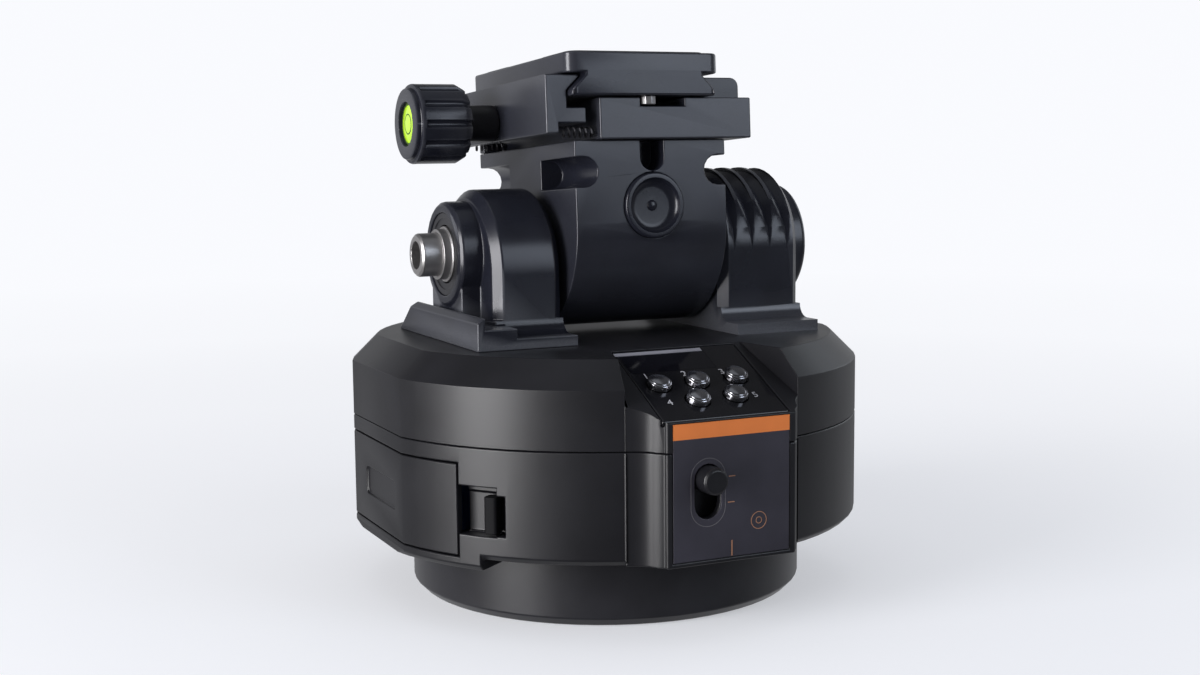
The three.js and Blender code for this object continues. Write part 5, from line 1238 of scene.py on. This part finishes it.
@dataclass
class Yoke(Assembly):
    """The two arms that carry the tilting carriage, and what closes their ends.

    Attributes:
        cap_radius: the end cap's radius.
        cap_round: the rounding of its rim.
        cap_dish: the radius of the shallow dish in it.
        cap_dish_depth: the dish's depth.
    """

    cap_radius: float = 14.3 * MM
    cap_round: float = 1.6 * MM
    cap_dish: float = 10.5 * MM
    cap_dish_depth: float = 0.8 * MM

    def build(self) -> list[bpy.types.Object]:
        """Builds and dresses the yoke."""
        self.rounded("left_arm", Finishes.METAL)
        self.rounded("right_arm", Finishes.METAL, SHARP)
        self.rounded("right_arm_cover", Finishes.METAL)
        self.build_end_cap()
        self.rounded("tilt_bearing_outer_race", Finishes.BEARING, SMALL_EDGE)
        self.kept("tilt_bushing", Finishes.BRASS)
        return self.pieces

    def build_end_cap(self) -> None:
        """The round cap on the right arm, with a raised rim and a shallow dish."""
        near, far = (corner[0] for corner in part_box("right_end_cap"))
        rim = self.cap_radius - self.cap_round
        slope, bottom = self.cap_dish + self.cap_dish_depth, far - self.cap_dish_depth
        dish = [(rim, far), (slope, far), (self.cap_dish, bottom), (0.0, bottom)]
        profile = [(0.0, near), (self.cap_radius, near)]
        profile += quarter_arc((rim, far - self.cap_round), (self.cap_round, self.cap_round), 8)
        profile += softened(dish, 0.3 * MM)[1:]
        shape = turned(profile, Axis.X, (0.0, 0.0, TILT_AXIS_Z), 160)
        self.made_new("end_cap_turned", shape, Finishes.METAL, "right_end_cap")


@dataclass
class TiltDrive(Assembly):
    """The tilt motor, its gears and the shafts that the carriage turns on."""

    def build(self) -> list[bpy.types.Object]:
        """Builds and dresses the tilt drive."""
        self.kept("tilt_motor", Finishes.DARK_STEEL)
        self.kept("tilt_pinion", Finishes.BRASS)
        self.kept("tilt_gear", Finishes.DARK_STEEL)
        self.kept("tilt_drive_shaft", Finishes.STEEL)
        self.rounded("tilt_shaft", Finishes.STEEL, SMALL_EDGE)
        self.rounded("tilt_bearing_inner_race", Finishes.STEEL, FINE_EDGE)
        return self.pieces


@dataclass
class Carriage(Assembly):
    """The tilting carriage and its covers.

    Attributes:
        cap_place: the front cap's place in the tilting group, with its face along y.
        cap_radius: the cap's radius.
        cap_thick: how far the cap reaches back from its face.
        bowl_start: the radius at which the bowl's curve ends at its bottom.
        bowl_width: how far the bowl's curve reaches out from there.
        bowl_depth: the bowl's depth.
        dome: the radius and height of the small dome in the bowl.
    """

    cap_place: Point = (2.05 * MM, -24.5 * MM, 9.5 * MM)
    cap_radius: float = 7.4 * MM
    cap_thick: float = 2.8 * MM
    bowl_start: float = 4.1 * MM
    bowl_width: float = 2.2 * MM
    bowl_depth: float = 1.95 * MM
    dome: tuple[float, float] = (1.25 * MM, 0.55 * MM)

    def build(self) -> list[bpy.types.Object]:
        """Builds and dresses the carriage."""
        self.rounded("tilt_carriage", Finishes.METAL)
        self.rounded("carriage_rear_cover", Finishes.METAL, TRIM_EDGE)
        self.build_cap()
        return self.pieces

    def build_cap(self) -> None:
        """The dished cap on the carriage's front, with a small dome in its middle."""
        across, face, level = self.cap_place
        radius, back, bottom = self.cap_radius, face + self.cap_thick, face + self.bowl_depth
        lip = self.bowl_start + self.bowl_width
        profile = [(0.0, back), (radius, back)]
        profile += softened([(radius, face + 1.2 * MM), (radius, face), (lip, face)], 0.9 * MM, 6)
        profile += quarter_arc((self.bowl_start, face), (self.bowl_width, self.bowl_depth), 12, 1)
        profile += quarter_arc((0.0, bottom), (self.dome[0], -self.dome[1]), 6)
        shape = turned(profile, Axis.Y, (across, 0.0, level), 128)
        shape.transform(tilted_place())
        self.made_new("boss_cap_turned", shape, Finishes.TURNED_METAL, "carriage_boss_cap")


@dataclass
class Clamp(Assembly):
    """The dovetail clamp: its block, its moving jaw, the knob with the level, and the springs.

    Attributes:
        grip_radius: the knob's radius at its fluted grip.
        pocket_radius: the radius of the pocket for the level in the knob's end.
        pocket_depth: the pocket's depth.
        flutes: how many flutes the knob has.
        flute_radius: half a flute's width.
        flute_depth: a flute's depth.
        lens_radius: the level's radius.
        lens_dome: how far its lens bulges.
        level_rings: each ring's name, inner radius and width.
    """

    grip_radius: float = 9.15 * MM
    pocket_radius: float = 4.95 * MM
    pocket_depth: float = 2.1 * MM
    flutes: int = 12
    flute_radius: float = 0.9 * MM
    flute_depth: float = 0.7 * MM
    lens_radius: float = 4.9 * MM
    lens_dome: float = 0.5 * MM
    level_rings: tuple[tuple[str, float, float], ...] = (
        ("inner", 2.1 * MM, 0.3 * MM),
        ("outer", 4.3 * MM, 0.5 * MM),
    )

    def build(self) -> list[bpy.types.Object]:
        """Builds and dresses the clamp."""
        self.rounded("clamp_base", Finishes.METAL, CASE_EDGE)
        self.rounded("moving_jaw", Finishes.METAL, CASE_EDGE)
        self.build_knob()
        self.rounded("clamp_neck_sleeve", Finishes.HOUSING, SMALL_EDGE)
        self.rounded("clamp_rod", Finishes.STEEL, FINE_EDGE)
        self.build_level()
        for end in ("front", "rear"):
            self.kept(f"clamp_screw_{end}", Finishes.DARK_STEEL)
            # The springs' finish is darkened to the shade of their slot: painted shade.
            self.kept(f"jaw_spring_{end}", Finishes.SPRING)
        return self.pieces

    def knob_axis(self) -> Point:
        """A point on the axis that the knob turns about."""
        return next(tuple(j["pos_m"]) for j in self.frame["joints"] if j["name"] == "clamp_knob_turn")

    def build_knob(self) -> None:
        """The knob, fluted round its side, with a pocket in its end for the level."""
        end, heel = (corner[0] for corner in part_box("clamp_knob"))
        grip, pocket, floor = self.grip_radius, self.pocket_radius, end + self.pocket_depth
        shoulder = end + 1.2 * MM
        first_flute = shoulder + 0.9 * MM
        profile = [
            (0.0, floor),
            (pocket, floor),
            (pocket, end + 0.25 * MM),
            (pocket + 0.2 * MM, end),
            (grip - 1.45 * MM, end),
            (grip - 1.1 * MM, end + 0.12 * MM),
            (grip - 0.95 * MM, end + 0.45 * MM),
            (grip - 0.95 * MM, shoulder - 0.1 * MM),
            (grip - 0.85 * MM, shoulder),
            (grip - 0.45 * MM, shoulder),
            (grip - 0.13 * MM, shoulder + 0.13 * MM),
            (grip, shoulder + 0.45 * MM),
            (grip, first_flute),
            (grip, first_flute + 0.5 * MM),
            (grip, heel - 2.0 * MM),
            (grip - 1.1 * MM, heel),
            (0.0, heel),
        ]
        pitch = 2.0 * math.pi / self.flutes

        def flute(angle: float, along: float) -> float:
            """How deep a flute is.

            Args:
                angle: the angle round the knob, in radians.
                along: the place along the axis.

            Returns:
                What is taken off the radius there.
            """
            if along <= first_flute:
                return 0.0
            off = (angle + pitch / 2.0) % pitch - pitch / 2.0
            across = grip * math.sin(off) / self.flute_radius
            return self.flute_depth * max(0.0, 1.0 - across * across) ** 0.6

        shape = turned(profile, Axis.X, self.knob_axis(), 20 * self.flutes, flute)
        self.made_new("clamp_knob_fluted", shape, Finishes.METAL, "clamp_knob")

    def build_level(self) -> None:
        """The round level: tinted liquid under a lens, and the rings it is read against."""
        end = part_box("clamp_knob")[0][0] + 0.6 * MM
        axis, radius, dome = self.knob_axis(), self.lens_radius, self.lens_dome
        heel = end + 1.5 * MM
        lens = [(0.0, heel), (radius, heel), *quarter_arc((0.0, end + dome), (radius, -dome), 8)]
        self.made_new("level_lens", turned(lens, Axis.X, axis), Finishes.VIAL, "bubble_level")
        for name, inner, width in self.level_rings:
            level = end + dome - dome * math.sqrt(1.0 - (inner / radius) ** 2)
            profile = (
                (inner, level + 0.2 * MM),
                (inner, level - 0.05 * MM),
                (inner + width, level + 0.01 * MM),
                (inner + width, level + 0.2 * MM),
                (inner, level + 0.2 * MM),
            )
            ring = turned(profile, Axis.X, axis)
            self.added(f"level_ring_{name}", ring, Finishes.LEVEL_MARK, "bubble_level")


@dataclass
class CameraPlate(Assembly):
    """The quick release plate with its pads, stop pin and camera screw.

    Attributes:
        plate_edge: the plate's rounding.
    """

    plate_edge: float = 0.5 * MM

    def build(self) -> list[bpy.types.Object]:
        """Builds and dresses the plate."""
        self.rounded("quick_release_plate", Finishes.METAL, self.plate_edge)
        for end in ("front", "rear"):
            self.rounded(f"plate_pad_{end}", Finishes.RUBBER, SMALL_EDGE)
        self.rounded("plate_stop_pin", Finishes.STEEL, FINE_EDGE)
        self.rounded("camera_screw", Finishes.STEEL, FINE_EDGE)
        return self.pieces


@dataclass
class Studio:
    """The floor, the backdrop's tone, the lamps and the camera.

    Attributes:
        backdrop: the tone of the paper behind the object.
        focal_length: the lens, on a 36 mm sensor.
        eye: where the camera stands.
        ahead: the way it looks.
        roll_deg: how far it is rolled.
        fill: how bright the air is as soft light.
        dim_side: how bright mirrors show it on the camera's side.
        pale_side: how bright mirrors show it behind the object.
        mirror_levels: how its mirrored tone changes from the nadir to the zenith.
        floor_bounce: the floor's colour as the object's light sees it.
        aim: the point that the lamps face.
    """

    backdrop: Colour = (0.95, 0.96, 0.995)
    focal_length: float = 48.6
    eye: Point = (-0.166345, -0.350379, 0.105325)
    ahead: Point = (0.42372, 0.89760, -0.12154)
    roll_deg: float = -0.532
    fill: float = 0.5
    dim_side: float = 0.05
    pale_side: float = 0.55
    mirror_levels: Pairs = ((0.34, 1.0), (0.44, 0.35), (0.51, 1.0), (0.6, 1.0), (0.76, 0.12))
    floor_bounce: Colour = (0.3, 0.3, 0.32)
    aim: Point = (0.0, 0.0, 0.07)

    def build(self) -> None:
        """Sets up the floor, the world, the lamps and the camera."""
        self.add_floor()
        self.set_world()
        self.add_lamps()
        self.add_camera()

    def add_floor(self) -> None:
        """A wide pale floor that fades into the backdrop far from the object."""
        shape = bmesh.new()
        bmesh.ops.create_circle(shape, cap_ends=True, segments=96, radius=6.0)
        floor = in_scene("floor", mesh_of("floor", shape))
        floor.location = (0.0, 0.0, -0.0002)
        floor.visible_glossy = False
        floor.visible_shadow = False
        material = bpy.data.materials.new("pale_paper")
        graph = Graph(material)
        distance = graph.add(
            "ShaderNodeVectorMath", {"operation": "LENGTH"}, {0: graph.place()}, "Value"
        )
        fade = graph.ramp(distance * 0.5, ((0.06, 0.42), (0.14, 0.7), (0.26, 0.92), (0.45, 1.0)))
        fibre = graph.noise(graph.place(), 3.0 * MM, 3.0)
        tone = graph.blend(fibre, scaled(self.backdrop, 0.965), scaled(self.backdrop, 0.975))
        paper = graph.add(
            "ShaderNodeBsdfPrincipled",
            {},
            {"Base Color": tone, "Roughness": 0.9, "Specular IOR Level": 0.1},
        )
        haze = graph.add("ShaderNodeEmission", {}, {"Color": self.backdrop, "Strength": 1.0})
        surface = graph.add("ShaderNodeMixShader", {}, {0: fade, 1: paper, 2: haze})
        shade = graph.add("ShaderNodeBsdfDiffuse", {}, {"Color": self.floor_bounce})
        seen = graph.add("ShaderNodeMixShader", {}, {0: graph.ray_is("Camera"), 1: shade, 2: surface})
        graph.add("ShaderNodeOutputMaterial", {}, {"Surface": seen})
        floor.data.materials.append(material)

    def set_world(self) -> None:
        """A pale backdrop, which mirrors show dimmer the nearer it is to the camera's side."""
        world = bpy.data.worlds.new("studio_air")
        bpy.context.scene.world = world
        graph = Graph(world)
        heading = graph.add("ShaderNodeTexCoord", {}, {}, "Generated")
        facing = graph.add(
            "ShaderNodeVectorMath", {"operation": "DOT_PRODUCT"}, {0: heading, 1: self.ahead}, "Value"
        )
        behind = graph.ramp(facing * 0.5 + 0.5, ((0.3, 0.0), (0.9, 1.0)))
        height = graph.add("ShaderNodeSeparateXYZ", {}, {0: heading}, "Z")
        level = graph.ramp(height * 0.5 + 0.5, self.mirror_levels)
        dim, pale, air = (
            scaled(self.backdrop, share) for share in (self.dim_side, self.pale_side, self.fill)
        )
        colour = graph.blend(graph.ray_is("Glossy"), air, graph.blend(behind * level, dim, pale))
        for kind in ("Camera", "Transmission"):
            colour = graph.blend(graph.ray_is(kind), colour, self.backdrop)
        background = graph.add("ShaderNodeBackground", {}, {"Color": colour, "Strength": 1.0})
        graph.add("ShaderNodeOutputWorld", {}, {"Surface": background})

    def add_lamps(self) -> None:
        """Large soft lamps at the left, the front right, the right and above."""
        self.lamp("left_softbox", (-0.78, -0.18, 0.17), (0.42, 0.6), 9.0, (1.0, 0.99, 1.0))
        self.lamp("front_right_softbox", (0.46, -0.71, 0.38), (0.45, 0.46), 2.1, (0.8, 0.88, 1.0))
        self.lamp("right_softbox", (0.8, 0.14, 0.3), (0.36, 0.6), 0.7, (0.85, 0.92, 1.0))
        self.lamp("top_softbox", (0.0, 0.05, 0.95), (0.7, 0.7), 0.35, (0.9, 0.95, 1.0))

    def lamp(
        self, name: str, place: Point, size: tuple[float, float], power: float, tint: Colour
    ) -> None:
        """Adds one softbox that faces the object.

        Args:
            name: its name.
            place: where its middle is.
            size: its width and height.
            power: its power in watts.
            tint: its colour.
        """
        data = bpy.data.lights.new(name, "AREA")
        data.shape = "RECTANGLE"
        data.size, data.size_y = size
        data.energy = power
        data.color = tint
        lamp = in_scene(name, data)
        lamp.location = place
        lamp.rotation_euler = (Vector(self.aim) - Vector(place)).to_track_quat("-Z", "Y").to_euler()

    def add_camera(self) -> None:
        """The camera at the photograph's place and angle."""
        data = bpy.data.cameras.new("camera")
        data.lens = self.focal_length
        data.sensor_width = 36.0
        data.sensor_fit = "HORIZONTAL"
        data.clip_start = 0.01
        data.clip_end = 50.0
        camera = in_scene("camera", data)
        ahead = Vector(self.ahead).normalized()
        level = ahead.cross(Vector((0.0, 0.0, 1.0))).normalized()
        upright = level.cross(ahead)
        roll = math.radians(self.roll_deg)
        right = math.cos(roll) * level + math.sin(roll) * upright
        up = -math.sin(roll) * level + math.cos(roll) * upright
        turned_to = Matrix((right, up, -ahead)).transposed().to_4x4()
        camera.matrix_world = Matrix.Translation(self.eye) @ turned_to
        bpy.context.scene.camera = camera


def main() -> None:
    """Loads the frame, builds every sub-assembly over it, and sets up the studio."""
    logging.basicConfig(level=logging.INFO, format="%(message)s")
    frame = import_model()
    finishes = Finishes()
    lower = (Turntable, Drum, BatteryBay, ControlBox, Yoke)
    upper = (TiltDrive, Carriage, Clamp, CameraPlate)
    for kind in (*lower, *upper):
        for piece in kind(frame, finishes).build():
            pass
    Studio().build()
    bpy.context.scene.view_settings.view_transform = "Standard"
    bpy.context.view_layer.update()


if __name__ == "__main__":
    main()
